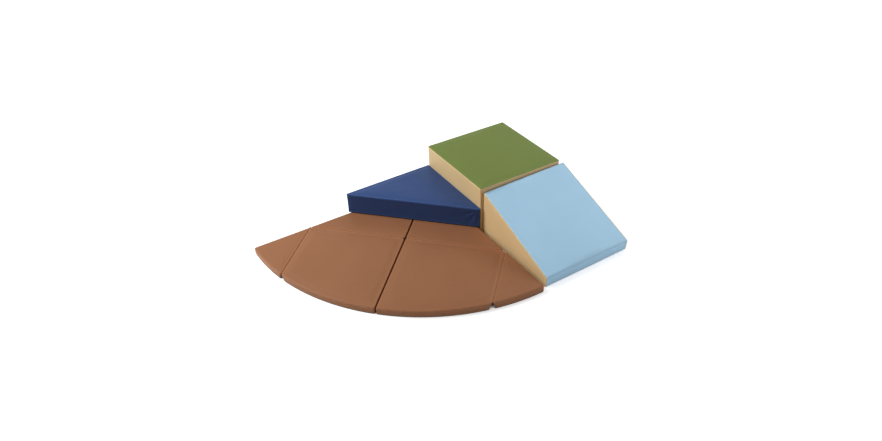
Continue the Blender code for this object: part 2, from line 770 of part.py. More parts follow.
def build_mat(place):
    """Build the folding mat and return the place of its right inner triangle."""
    inner, centre, flap = inner_panel(), centre_panel(), flap_panel()
    across = FLAP_FOLD + FOLD_AXIS
    right = place.joint("mat_lift", (CROSS_FOLD, 0, 0))
    left = right.joint("mat_centre_fold", (CROSS_FOLD, -GROOVE_HALF, -CLEARANCE))
    halves = (("right", right, False, across), ("left", left, True, -across))
    inner_places = []
    for side, half, mirror, flap_at in halves:
        add_panel(half, f"{side}_centre", centre, mirror)
        add_fold_strips(half, side, mirror)
        flap_place = half.joint(f"{side}_flap_fold", (CROSS_FOLD, flap_at, MAT_TOP))
        add_panel(flap_place, f"{side}_flap", flap, mirror)
        inner_place = half.joint(f"{side}_inner_fold", (CROSS_FOLD - FOLD_AXIS, 0, MAT_TOP))
        add_panel(inner_place, f"{side}_inner", inner, mirror)
        loop = mat_grip(f"{side}_inner_loop_strip", MAT_TOP)
        inner_place.add(loop, "black_hook", mirror)
        inner_places.append(inner_place)
    outer_end = MAT_RADIUS - PANEL_CORNER
    outer = groove_strip("centre_fold_strip", CROSS_FOLD + STRIP_HALF, outer_end)
    right.add(outer, "brown_vinyl")
    inner_end = CROSS_FOLD + STRIP_HALF - CLEARANCE
    inner_start = BORDER + PANEL_CORNER + POINT_CORNER
    corner = groove_strip("inner_centre_fold_strip", inner_start, inner_end)
    inner_places[0].add(corner, "brown_vinyl")
    return inner_places[0]


# Step

STEP_FOOT = MAT_TOP
STEP_HOLLOW = MAT_THICKNESS + GRIP_STACK - STEP_FOOT  # room for the strips under the step


def build_step(place):
    """Build the step in the plan's frame, so that its two legs follow the plan's planes."""
    right = -CLEARANCE
    back = -CLEARANCE
    edges = (
        Edge(right, 0, corner=STEP_POINT_CORNER, roll=BLOCK_ROLL, steps=EDGE_STEPS),
        Edge(back, SQUARE, corner=BLOCK_CORNER, roll=BLOCK_ROLL, steps=EDGE_STEPS),
        Edge(
            (STEP_LEG - right - back) / sqrt(2), MAT_TURN, draw=STEP_DRAW,
            corner=STEP_POINT_CORNER, roll=BLOCK_ROLL, steps=EDGE_STEPS + 2,
        ),
    )
    head = STEP_FOOT + STEP_HEIGHT
    block = Padding(edges, STEP_FOOT, head, crown=STEP_CROWN, hollow=STEP_HOLLOW)
    place.add(block.foam("step_foam"), "foam")
    place.add(block.top_cover("step_top_cover"), "navy_vinyl")
    place.add(block.side_cover("step_side_cover"), "navy_vinyl")
    place.add(block.base_cover("step_base_cover"), "grip_cloth")
    middle = (-STEP_LEG / 2, back, STEP_FOOT + ZIP_EDGE_GAP + ZIP_TAPE_WIDTH / 2)
    add_zip(place, "step", middle, along=(-1, 0, 0), out=(0, 1, 0))


def add_step_hooks(place):
    """Add the step's two hook strips, drawn in the mat's frame above the loop strips."""
    low = STEP_FOOT + STEP_HOLLOW - CLEARANCE - GRIP_THICKNESS
    for side, mirror in (("right", False), ("left", True)):
        place.add(mat_grip(f"step_{side}_hook_strip", low), "black_hook", mirror)


# The whole climber

def middle_of_plan():
    """Return the middle of the whole object's box, in the plan's frame."""
    zip_out = CLEARANCE + ROOF_TOP + BRIDGE_OPENING + BRIDGE_BAR
    tip = outline(flap_panel().edges, [0, 0, 0]) @ np.array(
        ((cos(MAT_TURN), sin(MAT_TURN)), (-sin(MAT_TURN), cos(MAT_TURN)))
    )
    far = tip.min()
    return (far + RAMP_RIGHT + zip_out) / 2, (far + zip_out) / 2


def build():
    """Clear the scene and build the climber."""
    for thing in list(bpy.data.objects):
        bpy.data.objects.remove(thing)
    middle_x, middle_y = middle_of_plan()
    plan = Matrix.Translation((-middle_x, -middle_y, 0))
    root = bpy.data.objects.new("climber", None)
    bpy.context.scene.collection.objects.link(root)
    root.location = plan.translation
    climber = Place(root, plan, plan)
    build_platform(climber)
    build_ramp(climber.joint("ramp_pull_off", (RAMP_OFFSET, RAMP_BACK, 0)))
    mat = Place(root, plan @ Matrix.Rotation(MAT_TURN, 4, "Z"), plan)
    inner = build_mat(mat)
    raised = inner.joint("step_lift", (MAT_GRIP_REACH, 0, STEP_FOOT))
    add_step_hooks(raised)
    build_step(Place(raised.carrier, plan, raised.carrier_world))


build()
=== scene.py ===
"""Looks of a soft play foam climber: vinyl covers, folding mat, zips and strips.

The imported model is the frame.  Every soft piece of it is replaced here by a sewn
cover, a foam core or a strip that lies where the frame's own piece lies.  Lengths
are in metres, +Z is up, and shapes are worked out as whole arrays of points.
"""

import logging
import math
from dataclasses import dataclass, field
from enum import Enum
from functools import cached_property

import bpy
import numpy as np
from mathutils import Matrix, Vector
from mathutils.kdtree import KDTree


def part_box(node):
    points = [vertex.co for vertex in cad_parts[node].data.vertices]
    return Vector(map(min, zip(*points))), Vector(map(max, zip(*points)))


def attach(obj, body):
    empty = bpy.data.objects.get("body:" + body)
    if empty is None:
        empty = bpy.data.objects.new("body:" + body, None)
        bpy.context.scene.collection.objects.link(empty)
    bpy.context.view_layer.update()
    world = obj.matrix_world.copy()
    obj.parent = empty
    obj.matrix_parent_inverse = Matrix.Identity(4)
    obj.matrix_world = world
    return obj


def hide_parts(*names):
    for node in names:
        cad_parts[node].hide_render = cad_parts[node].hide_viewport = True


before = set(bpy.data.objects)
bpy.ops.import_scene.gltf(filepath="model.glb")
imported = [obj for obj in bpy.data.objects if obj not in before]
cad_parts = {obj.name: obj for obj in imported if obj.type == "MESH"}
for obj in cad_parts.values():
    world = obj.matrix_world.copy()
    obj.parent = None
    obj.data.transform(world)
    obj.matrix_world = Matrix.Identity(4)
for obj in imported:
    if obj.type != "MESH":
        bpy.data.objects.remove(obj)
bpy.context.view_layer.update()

LOG = logging.getLogger("climber")

QUARTER = math.pi / 2
CLOTH = 0.0012              # thickness of the vinyl cover
SEAM_GAP = 0.00015          # from a seam's middle to each cover's edge
TUCK = 0.0014               # how deep a cover's edge turns in at its seam
CORE_DEPTH = 0.0045         # from a cover's face to the foam core in the scene
SLIT = 0.0003               # between pieces that touch
SHARPEST = 0.0005           # radius that every corner keeps where it is moved in
LEAST_ROLL = 0.0004         # radius that every rolled edge keeps under the surface
SHARP_FROM = math.radians(50)
WELT_AT, WELT_WIDTH = 0.0026, 0.0013        # where the welt stands beside a seam, and its width
STITCH_DEPTH, STITCH_WIDTH = 1.4, 0.0007    # the dip at a seam, in welts, and its width
PALE_SEAM_AT, PALE_SEAM_WIDTH = 0.0024, 0.0028          # where a seam is painted pale, for rubbing wear and a painted highlight, and how widely
UNDER_PALE_SEAM = 0.3             # share of that which an underside has
UNEVEN_WAVE = 0.16          # length of the waves in an uneven cover
CLOTH_FRAMES, SEWN_LEVELS, NEIGHBOURS = 20, 10, 6       # of the covers that are blown up
CORD_SIDES = 10
CROSS_WEAR_AND_HIGHLIGHT, FLAP_WEAR_AND_HIGHLIGHT = 0.8, 0.2            # how much paler each kind of fold is painted: rubbing wear plus painted highlight
MAT_TURN = math.radians(225)
SIDES = (("right", False), ("left", True))  # the mat's halves, and whether each is mirrored

Array, Socket = np.ndarray, bpy.types.NodeSocket
Triple = tuple[float, float, float]


# Finishes


class Graph:
    """A material's or the world's node graph, built a node at a time."""

    def __init__(self, block: bpy.types.ID, shader: str = "Principled BSDF") -> None:
        """Begin at the shader that a new block has.

        Args:
            block: the new material or world.
            shader: its shader's name.
        """
        block.use_nodes = True
        self.block, self.tree = block, block.node_tree
        self.shader = self.tree.nodes[shader]

    @cached_property
    def coordinates(self) -> Socket:
        """The place on the object, read by one node."""
        return self.add("ShaderNodeTexCoord").outputs["Object"]

    def put(self, node: bpy.types.Node, inputs: dict) -> None:
        """Set a node's sockets to values, or link other nodes' outputs to them."""
        for key, value in inputs.items():
            if isinstance(value, Socket):
                self.tree.links.new(value, node.inputs[key])
            else:
                node.inputs[key].default_value = value

    def add(self, kind: str, inputs: dict | None = None, **settings: object) -> bpy.types.Node:
        """Add a node.

        Args:
            kind: the node's type.
            inputs: socket name or number to a value or to another node's output.
            settings: the node's own properties.

        Returns:
            The new node.
        """
        node = self.tree.nodes.new(kind)
        for key, value in settings.items():
            setattr(node, key, value)
        self.put(node, inputs or {})
        return node

    def dressed(self, inputs: dict) -> bpy.types.ID:
        """Fill in the shader's own sockets and return the material or world."""
        self.put(self.shader, inputs)
        return self.block

    def noise(self, scale: float, detail: float = 3.0) -> Socket:
        """Return a soft noise from 0 to 1 in object space, scale waves to the metre."""
        inputs = {"Vector": self.coordinates, "Scale": scale, "Detail": detail}
        return self.add("ShaderNodeTexNoise", inputs).outputs["Fac"]

    def ranged(self, value: object, start: float, end: float, low: float = 0.0, high: float = 1.0) -> Socket:
        """Return a value that runs from low to high while another runs from start to end."""
        inputs = {"Value": value, "From Min": start, "From Max": end, "To Min": low, "To Max": high}
        return self.add("ShaderNodeMapRange", inputs).outputs["Result"]

    def spread(self, value: object, low: float, high: float) -> Socket:
        """Return a noise's middle half stretched between low and high."""
        return self.ranged(value, 0.25, 0.75, low, high)

    def maths(self, way: str, first: object, second: object = 0.0) -> Socket:
        """Return the result of one sum on two values."""
        return self.add("ShaderNodeMath", {0: first, 1: second}, operation=way).outputs[0]

    def mixed(self, share: object, first: object, second: object) -> Socket:
        """Return a colour between two others, at a share from 0 to 1."""
        node = self.add("ShaderNodeMix", data_type="RGBA")
        colours = [i for i, socket in enumerate(node.inputs) if socket.type == "RGBA"]
        self.put(node, {"Factor": share, colours[0]: first, colours[1]: second})
        return next(socket for socket in node.outputs if socket.type == "RGBA")

    def bump(self, height: object, depth: float, strength: float, under: object = None) -> object:
        """Return a normal raised by a height, on top of another bump if there is one."""
        inputs = {"Height": height, "Distance": depth, "Strength": strength}
        if under is not None:
            inputs["Normal"] = under
        return self.add("ShaderNodeBump", inputs).outputs["Normal"]

    def seen(self, *rays: str) -> Socket:
        """Return 1 for the kinds of ray that are named, and 0 for the others."""
        path = self.add("ShaderNodeLightPath")
        first, *others = (path.outputs[f"Is {ray} Ray"] for ray in rays)
        for other in others:
            first = self.maths("MAXIMUM", first, other)
        return first


def shade(colour: Triple, factor: float) -> tuple[float, ...]:
    """Return a colour made lighter or darker by a factor."""
    return (*(min(1.0, part * factor) for part in colour), 1.0)


@dataclass(frozen=True)
class Vinyl:
    """Coated cloth with a fine grain, painted paler along raised seams for rubbing wear and as a painted
    highlight.
    """

    name: str
    colour: Triple
    rough: float = 0.50
    gloss: float = 0.22         # strength of its reflections, 0.5 being plain plastic
    rub_and_highlight: float = 1.25           # how much paler a seam is painted: rubbing wear plus painted highlight
    grain: float = 620.0        # grain cells to the metre

    def material(self) -> bpy.types.Material:
        """Return the material: grain and creases in the bump, cloudy tone, and seams painted paler for wear
        and as a painted highlight.
        """
        g = Graph(bpy.data.materials.new(self.name))
        cloudy = g.mixed(g.spread(g.noise(4.0), 0, 1), shade(self.colour, 0.96), shade(self.colour, 1.04))
        seam = g.add("ShaderNodeAttribute", attribute_name="seam").outputs["Fac"]
        # Seams painted paler: partly rubbing wear, partly a painted highlight where the raised seam catches
        # light.
        wear_and_highlight = g.maths("MULTIPLY", seam, g.spread(g.noise(45.0), 0.35, 1.0))
        cells = {"Vector": g.coordinates, "Scale": self.grain, "Smoothness": 0.6}
        pebbles = g.add("ShaderNodeTexVoronoi", cells, feature="SMOOTH_F1").outputs["Distance"]
        creases = g.bump(g.noise(38.0, 5.0), 0.0012, 0.22)
        return g.dressed({
            "Base Color": g.mixed(wear_and_highlight, cloudy, shade(self.colour, self.rub_and_highlight)),
            "Roughness": g.spread(g.noise(30.0), self.rough - 0.04, self.rough + 0.05),
            "Specular IOR Level": self.gloss,
            "Normal": g.bump(pebbles, 0.00012, 0.35, creases),
        })


@dataclass(frozen=True)
class GripCloth:
    """Dark non-slip cloth with a grid of raised rubber dots."""

    name: str = "grip_cloth"
    colour: Triple = (0.020, 0.020, 0.022)
    pitch: float = 0.007
    dot: float = 0.0016         # radius of a dot

    def material(self) -> bpy.types.Material:
        """Return the material: dots where the distance to a grid point is under their radius."""
        g = Graph(bpy.data.materials.new(self.name))
        apart = g.add("ShaderNodeSeparateXYZ", {0: g.coordinates})
        wrapped = [g.maths("PINGPONG", apart.outputs[axis], self.pitch / 2) for axis in ("X", "Y")]
        away = g.maths("SQRT", g.maths("ADD", *(g.maths("POWER", side, 2.0) for side in wrapped)))
        dots = g.maths("LESS_THAN", away, self.dot)
        tone = g.mixed(g.spread(g.noise(300.0), 0, 1), shade(self.colour, 0.8), shade(self.colour, 1.3))
        weave = g.bump(g.noise(1500.0, 2.0), 0.0002, 0.5)
        return g.dressed({
            "Base Color": g.mixed(dots, tone, shade(self.colour, 0.5)),
            "Roughness": g.spread(g.noise(200.0), 0.80, 0.92),
            "Normal": g.bump(dots, 0.0006, 0.6, weave),
        })


@dataclass(frozen=True)
class Fibres:
    """Cloth or foam with a fuzzy or open surface."""

    name: str
    colour: Triple
    rough: float = 0.9
    cells: float = 900.0        # threads or pores to the metre
    depth: float = 0.0004
    uneven: float = 0.25        # how much the tone varies

    def material(self) -> bpy.types.Material:
        """Return the material: a cellular bump and a speckled tone."""
        g = Graph(bpy.data.materials.new(self.name))
        speckle = g.spread(g.noise(self.cells / 3, 4.0), 0, 1)
        dark, pale = shade(self.colour, 1 - self.uneven), shade(self.colour, 1 + self.uneven)
        cells = {"Vector": g.coordinates, "Scale": self.cells}
        pores = g.add("ShaderNodeTexVoronoi", cells).outputs["Distance"]
        return g.dressed({
            "Base Color": g.mixed(speckle, dark, pale),
            "Roughness": self.rough,
            "Normal": g.bump(pores, self.depth, 0.6),
        })


@dataclass(frozen=True)
class Cast:
    """Plain metal or moulded plastic with fine scratches."""

    name: str
    colour: Triple
    metallic: float
    rough: float

    def material(self) -> bpy.types.Material:
        """Return the material: uneven roughness and hairline scratches."""
        g = Graph(bpy.data.materials.new(self.name))
        return g.dressed({
            "Base Color": g.mixed(g.noise(250.0), shade(self.colour, 0.9), shade(self.colour, 1.1)),
            "Metallic": self.metallic,
            "Roughness": g.spread(g.noise(400.0), self.rough - 0.06, self.rough + 0.10),
            "Normal": g.bump(g.noise(2500.0, 2.0), 0.00005, 0.25),
        })


class Finish(Enum):
    """The finishes of the climber."""

    GREEN = Vinyl("green_vinyl", (0.164, 0.220, 0.046))
    TAN = Vinyl("tan_vinyl", (0.730, 0.530, 0.270), rub_and_highlight=1.35)
    LIGHT_BLUE = Vinyl("light_blue_vinyl", (0.458, 0.726, 0.943), rub_and_highlight=1.05)
    NAVY = Vinyl("navy_vinyl", (0.0235, 0.060, 0.185), rough=0.46, gloss=0.27, rub_and_highlight=1.8)
    BROWN = Vinyl("brown_vinyl", (0.310, 0.132, 0.060), rub_and_highlight=1.4)
    GRIP = GripCloth()
    FOAM = Fibres("foam", (0.76, 0.70, 0.52), rough=0.95, cells=700.0, depth=0.0006, uneven=0.08)
    PILE = Fibres("black_hook", (0.020, 0.020, 0.022), cells=1400.0, depth=0.0006)
    TAPE = Fibres("zip_tape", (0.030, 0.030, 0.034), rough=0.85, cells=1800.0, depth=0.0002)
    METAL = Cast("zip_metal", (0.55, 0.55, 0.57), 1.0, 0.30)
    COIL = Cast("zip_coil", (0.022, 0.022, 0.024), 0.0, 0.35)
    BROWN_THREAD = Fibres("brown_thread", (0.30, 0.13, 0.07), rough=0.6, cells=2500.0, depth=0.0001)
    BLACK_THREAD = Fibres("black_thread", (0.03, 0.03, 0.03), rough=0.6, cells=2500.0, depth=0.0001)

    @property
    def material(self) -> bpy.types.Material:
        """Return the finish's material, made the first time that it is asked for."""
        name = self.value.name
        known = [m for m in bpy.data.materials if m.get("climber_finish") == name]
        if known:
            return known[0]
        made = self.value.material()
        made["climber_finish"] = name
        return made


# Meshes


@dataclass
class Skin:
    """Points and faces of one piece, with a value at each point for its finish."""

    points: Array
    faces: list
    seam: Array | None = None


def joined(skins: list[Skin]) -> Skin:
    """Return several skins as one, without values for their finish."""
    faces, count = [], 0
    for skin in skins:
        faces += [tuple(i + count for i in face) for face in skin.faces]
        count += len(skin.points)
    return Skin(np.concatenate([skin.points for skin in skins]), faces)


def grid_faces(rows: int, columns: int, round_columns: bool = True) -> list:
    """Return the four-sided faces of a grid of points.

    Args:
        rows: how many rows of points there are.
        columns: how many points a row has.
        round_columns: whether a row's last point joins its first.

    Returns:
        Faces that point outwards where columns turn left and rows climb.
    """
    low = np.arange(rows - 1)[:, None] * columns
    c = np.arange(columns if round_columns else columns - 1)[None, :]
    high, on = low + columns, (c + 1) % columns
    corners = (low + c, low + on, high + on, high + c)
    return np.stack(np.broadcast_arrays(*corners), axis=-1).reshape(-1, 4).tolist()


def fan(first: int, width: int, pole: int, over: bool) -> list:
    """Return the triangles between a ring of points and a pole over it or under it."""
    ring = [(first + i, first + (i + 1) % width) for i in range(width)]
    return [(a, b, pole) if over else (pole, b, a) for a, b in ring]


def capped(grid: Array) -> tuple[Array, list]:
    """Return a grid's points and faces, each open end closed by a fan about its middle."""
    height, width = grid.shape[:2]
    count, last = height * width, (height - 1) * width
    faces = grid_faces(height, width) + fan(0, width, count, False) + fan(last, width, count + 1, True)
    return np.vstack((grid.reshape(-1, 3), grid[0].mean(axis=0), grid[-1].mean(axis=0))), faces


def set_in(points: Array, place: Matrix, mirror: bool = False) -> Array:
    """Return points moved to a place; the left half's have y and a grid's columns turned over."""
    if mirror:
        points = points * (1, -1, 1)
    moved = points @ np.array(place.to_3x3()).T + np.array(place.translation)
    return moved[:, ::-1] if mirror and moved.ndim == 3 else moved


def vertices(mesh: bpy.types.Mesh) -> Array:
    """Return a mesh's points, one a row."""
    flat = np.empty(len(mesh.vertices) * 3)
    mesh.vertices.foreach_get("co", flat)
    return flat.reshape(-1, 3)


def add_piece(name: str, skin: Skin, finish: Finish, body: str, nodes: tuple = (), wall: float = 0.0) -> None:
    """Make one piece of the climber, at the origin.

    Args:
        name: the piece's name.
        skin: its points and faces, in the frame's space.
        finish: its finish, which has the name of the record's slot.
        body: the body that it rides on.
        nodes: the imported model's nodes that it stands for.
        wall: thickness to give an open skin, or 0 for a closed one.
    """
    mesh = bpy.data.meshes.new(name)
    mesh.from_pydata(skin.points.tolist(), [], skin.faces)
    mesh.validate()
    if skin.seam is not None:
        mesh.attributes.new("seam", "FLOAT", "POINT").data.foreach_set("value", skin.seam)
    mesh.shade_smooth()
    mesh.set_sharp_from_angle(angle=SHARP_FROM)
    mesh.materials.append(finish.material)
    piece = bpy.data.objects.new(name, mesh)
    bpy.context.scene.collection.objects.link(piece)
    if wall:
        solid = piece.modifiers.new("wall", "SOLIDIFY")
        solid.thickness, solid.offset = wall, -1.0
    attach(piece, body)
    if nodes:
        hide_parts(*nodes)
    LOG.info("%s: %d points on %s", name, len(skin.points), body)


def ripple(points: Array, seed: int, wave: float, waves: int = 7) -> Array:
    """Return a gentle unevenness from -1 to 1: a sum of sine waves in fixed directions.

    Args:
        points: places, one a row.
        seed: which set of directions.
        wave: the wave's length in metres.
        waves: how many are summed.

    Returns:
        One value for each point.
    """
    draw = np.random.default_rng(seed)
    ways = draw.normal(size=(waves, 3))
    ways /= np.linalg.norm(ways, axis=1, keepdims=True)
    turns = draw.uniform(0, 2 * np.pi, waves)
    lengths = wave * draw.uniform(0.7, 1.6, waves)
    angles = points @ (ways * (2 * np.pi / lengths[:, None])).T + turns
    return np.sin(angles).sum(axis=-1) / math.sqrt(waves) / 1.4


def grid_normals(grid: Array) -> Array:
    """Return outward normals of a grid: the cross product of its two directions."""
    along = np.roll(grid, -1, axis=1) - np.roll(grid, 1, axis=1)
    normals = np.cross(along, np.gradient(grid, axis=0))
    return normals / np.maximum(np.linalg.norm(normals, axis=2, keepdims=True), 1e-12)


# Outlines


@dataclass(frozen=True)
class Border:
    """One side of a padded module's outline: a straight line, or an arc round its zero."""

    reach: float                    # distance of the line or the arc from zero
    bearing: float | None = 0.0     # direction of a line's outward normal
    corner: float = 0.006           # radius of the corner where it starts
    roll: float = 0.0025            # radius of its upper edge
    head_in: float = 0.0            # how far it stands back at the top
    foot_in: float = 0.0            # and at the foot
    draw: float = 0.0               # how far it draws in at half height
    slack: float = 0.0              # how freely the cover may swell there

    def normal(self, at: Array) -> Array:
        """Return the outward direction, at a point where the border is an arc."""
        turn = math.atan2(at[1], at[0]) if self.bearing is None else self.bearing
        return np.array((math.cos(turn), math.sin(turn)))


def crossing(first: Border, first_in: float, second: Border, second_in: float) -> Array:
    """Return the point where two neighbouring borders meet, each moved in by its inset."""
    a, b = first.reach - first_in, second.reach - second_in
    if first.bearing is not None and second.bearing is not None:
        sides = np.array((first.normal(np.zeros(2)), second.normal(np.zeros(2))))
        return np.linalg.solve(sides, (a, b))
    line, distance, radius, way = (first, a, b, 1) if second.bearing is None else (second, b, a, -1)
    n = line.normal(np.zeros(2))
    return n * distance + np.array((-n[1], n[0])) * way * math.sqrt(radius ** 2 - distance ** 2)


@dataclass(frozen=True)
class Outline:
    """A closed outline of borders with round corners, read at many insets."""

    borders: tuple[Border, ...]
    pitch: float = 0.010            # distance between its points
    corner_points: int = 7

    def corners(self, insets: list[float]) -> list[tuple[Array, float]]:
        """Return each corner's centre and radius when the borders are moved in."""
        found = []
        for i, border in enumerate(self.borders):
            before = self.borders[i - 1]
            radius = max(border.corner - (insets[i] + insets[i - 1]) / 2, SHARPEST)
            centre = crossing(before, insets[i - 1] + radius, border, insets[i] + radius)
            found.append((centre, radius))
        return found

    def counts(self) -> list[int]:
        """Return how many stretches each border has between its corners."""
        corners = self.corners([0.0] * len(self.borders))
        middles = [centre for centre, _ in corners]
        lengths = [np.linalg.norm(middles[(i + 1) % len(middles)] - m) for i, m in enumerate(middles)]
        return [max(3, round(length / self.pitch)) for length in lengths]

    def points(self, insets: list[float]) -> Array:
        """Return the outline anticlockwise: arcs at the corners, even stretches between."""
        corners, counts, parts = self.corners(insets), self.counts(), []
        for i, border in enumerate(self.borders):
            centre, radius = corners[i]
            start, end = self.borders[i - 1].normal(centre), border.normal(centre)
            turn = math.atan2(start[1], start[0])
            sweep = (math.atan2(end[1], end[0]) - turn) % (2 * math.pi)
            a = turn + sweep * np.linspace(0, 1, self.corner_points)
            parts.append(centre + radius * np.column_stack((np.cos(a), np.sin(a))))
            following, next_radius = corners[(i + 1) % len(corners)]
            leave = parts[-1][-1]
            arrive = following + next_radius * border.normal(following)
            share = (np.arange(1, counts[i]) / counts[i])[:, None]
            if border.bearing is None:
                first, last = math.atan2(leave[1], leave[0]), math.atan2(arrive[1], arrive[0])
                a = first + ((last - first + math.pi) % (2 * math.pi) - math.pi) * share[:, 0]
                parts.append((border.reach - insets[i]) * np.column_stack((np.cos(a), np.sin(a))))
            else:
                parts.append(leave + (arrive - leave) * share)
        return np.concatenate(parts)

    def blended(self, values: list[float]) -> Array:
        """Return one value for each point, passing evenly round the corners."""
        parts, share = [], np.linspace(0, 1, self.corner_points)
        for i, count in enumerate(self.counts()):
            parts.append(values[i - 1] + (values[i] - values[i - 1]) * share)
            parts.append(np.full(count - 1, values[i]))
        return np.concatenate(parts)

    def stretch(self, index: int) -> Array:
        """Return the numbers of the points along one border, corners left out."""
        counts = self.counts()
        first = sum(self.corner_points + c - 1 for c in counts[:index]) + self.corner_points - 1
        whole = sum(self.corner_points + c - 1 for c in counts)
        return np.arange(first, first + counts[index] + 1) % whole

    def middle_of_corner(self, index: int) -> int:
        """Return the number of the point in the middle of the corner where a border starts."""
        counts = self.counts()
        return sum(self.corner_points + c - 1 for c in counts[:index]) + self.corner_points // 2


# Padded modules


class Part(Enum):
    """The covers that make up one padded module, from the floor up."""

    BASE = 0
    SIDE = 1
    TOP = 2


# Distances from a seam to the rows of points beside it.
NEAR_SEAM = (SEAM_GAP, 0.0006, 0.0012, 0.0020, 0.0030, 0.0044, 0.0066)
# Rows of the underside, as shares of the way from its middle to its rim.
UNDERSIDE = (0.08, 0.3, 0.5, 0.7, 0.82, 0.86, 0.90, 0.93, 0.97)
HOLLOW_START, HOLLOW_RUN = 0.82, 0.11       # where on that way the hollow runs out, and how fast
FOOT_TURNS = (1.0, 0.75, 0.5, 0.25)         # rows round the foot, as shares of a quarter turn
HEAD_TURNS = (0.08, 0.16, 0.27, 0.42, 0.6, 0.8, 1.0)
LIP_STEPS = (0.0015, 0.003, 0.0045)         # rows of the head beside its rolled edge
FREE_FROM = 0.03                            # distance from the edge at which the head swells freely


@dataclass
class Pad:
    """A padded body between a flat foot and a crowned head.

    The surface is a grid: columns follow the outline and rows climb from the middle
    of the foot, round its edge, up the sides, round the upper edge and in to the
    middle of the head.
    """

    outline: Outline
    place: Matrix
    foot: float
    head: float
    crown: float = 0.0
    foot_roll: float = 0.003
    hollow: float = 0.0             # how far the underside is drawn up inside its rim
    mirror: bool = False
    ring_pitch: float = 0.012       # distance between rows on the head and the sides
    head_slack: float = 1.0
    foot_slack: float = 0.0
    swell: float = 0.003            # the most that the cover may stand out
    welt: float = 0.0005            # height of the rolled cloth beside a seam
    seed: int = 1
    uneven: float = 0.0005          # depth of the gentle unevenness
    voxel: float = 0.008
    still: tuple | None = None      # x, y, low and high of a region that must stay flat
    settled: float = 0.0            # how much of its height it loses for each metre along x
    grid: Array = field(init=False, default=None)
    normals: Array = field(init=False, default=None)
    seam: Array = field(init=False, default=None)
    parts: Array = field(init=False, default=None)

    def rings(self, depth: float = 0.0) -> tuple[Array, Array, Array, Array]:
        """Return the grid at a depth under the surface.

        Args:
            depth: how far under the nominal surface the grid lies.

        Returns:
            The points (rows, columns, 3), each one's distance to the nearest seam,
            each row's part and how free each point is to swell.
        """
        o, sides = self.outline, self.outline.borders
        side_rolls = [max(b.roll - depth, LEAST_ROLL) for b in sides]
        rolls, foot_roll = o.blended(side_rolls), max(self.foot_roll - depth, LEAST_ROLL)
        side_slack = o.blended([b.slack for b in sides])
        grid, near, parts, slack = [], [], [], []

        def ring(insets: list[float], heights: Array | float) -> Array:
            """Return one row of points."""
            flat = o.points(insets)
            return np.column_stack((flat, np.broadcast_to(heights, len(flat))))

        def keep(row: Array, gap: Array | float, part: Part, free: Array | float) -> None:
            """Add a row to the grid."""
            grid.append(row)
            near.append(np.broadcast_to(gap, len(row)))
            parts.append(part.value)
            slack.append(np.broadcast_to(free, len(row)))

        rim = ring([b.foot_in + self.foot_roll for b in sides], self.foot + depth)
        middle = rim.mean(axis=0)
        for share in UNDERSIDE:
            row = middle + (rim - middle) * share
            row[:, 2] += self.hollow * (1 - np.clip((share - HOLLOW_START) / HOLLOW_RUN, 0, 1))
            keep(row, 1.0, Part.BASE, self.foot_slack)
        reach = foot_roll * QUARTER
        for share in (*FOOT_TURNS, SEAM_GAP / max(reach, SEAM_GAP)):
            a = QUARTER * share
            insets = [b.foot_in + depth + foot_roll * (1 - math.cos(a)) for b in sides]
            level = self.foot + depth + foot_roll * (1 - math.sin(a))
            keep(ring(insets, level), reach * share, Part.BASE, 0.0)

        low, high = self.foot + self.foot_roll, self.head - o.blended([b.roll for b in sides])
        height = float((high - low).mean())
        edge = [s for s in NEAR_SEAM if s < height / 2.2]
        inner = np.linspace(edge[-1], height - edge[-1], max(3, round(height / self.ring_pitch)))[1:-1]
        for s in [*edge, *inner, *(height - e for e in reversed(edge))]:
            share = s / height
            swell = 1 - (1 - 2 * share) ** 2
            insets = [depth + b.foot_in + (b.head_in - b.foot_in) * share + b.draw * swell for b in sides]
            keep(ring(insets, low + (high - low) * share), min(s, height - s), Part.SIDE,
                 side_slack * min(1.0, 4 * share * (1 - share)))

        first = SEAM_GAP / max(float(rolls.min()) * QUARTER, SEAM_GAP)
        for share in sorted((first, *HEAD_TURNS)):
            a = QUARTER * share
            insets = [b.head_in + depth + roll * (1 - math.cos(a)) for b, roll in zip(sides, side_rolls)]
            keep(ring(insets, self.head - depth - rolls * (1 - math.sin(a))), rolls * a, Part.TOP, 0.0)
        lip, lip_gap = grid[-1], near[-1]
        centre = lip.mean(axis=0)

        def away(row: Array) -> Array:
            """Return each point's distance from the head's middle."""
            return np.linalg.norm(row[:, :2] - centre[:2], axis=1)

        def keep_crowned(row: Array, gone: float) -> None:
            """Add a row of the head, raised by the crown less its square share of the way out."""
            row[:, 2] += self.crown * (1 - (away(row) / away(lip)) ** 2)
            keep(row, lip_gap + gone, Part.TOP, self.head_slack * min(1.0, gone / FREE_FROM))

        smallest = min(b.corner - b.roll - b.head_in for b in sides)
        steps = [s for s in LIP_STEPS if s < smallest - LIP_STEPS[0]]
        for s in steps:
            insets = [b.head_in + depth + roll + s for b, roll in zip(sides, side_rolls)]
            keep_crowned(ring(insets, self.head - depth), s)
        last = grid[-1].copy()
        last[:, 2] = self.head - depth
        span, begun = float(away(last).mean()), steps[-1] if steps else 0.0
        for share in np.linspace(1, 0, max(6, round(span / self.ring_pitch)))[1:-1]:
            keep_crowned(centre + (last - centre) * share, begun + span * (1 - share))
        whole = np.array(grid)
        whole[..., 2] -= (whole[..., 2] - self.foot) * self.settled * whole[..., 0]
        return whole, np.array(near), np.array(parts), np.array(slack)

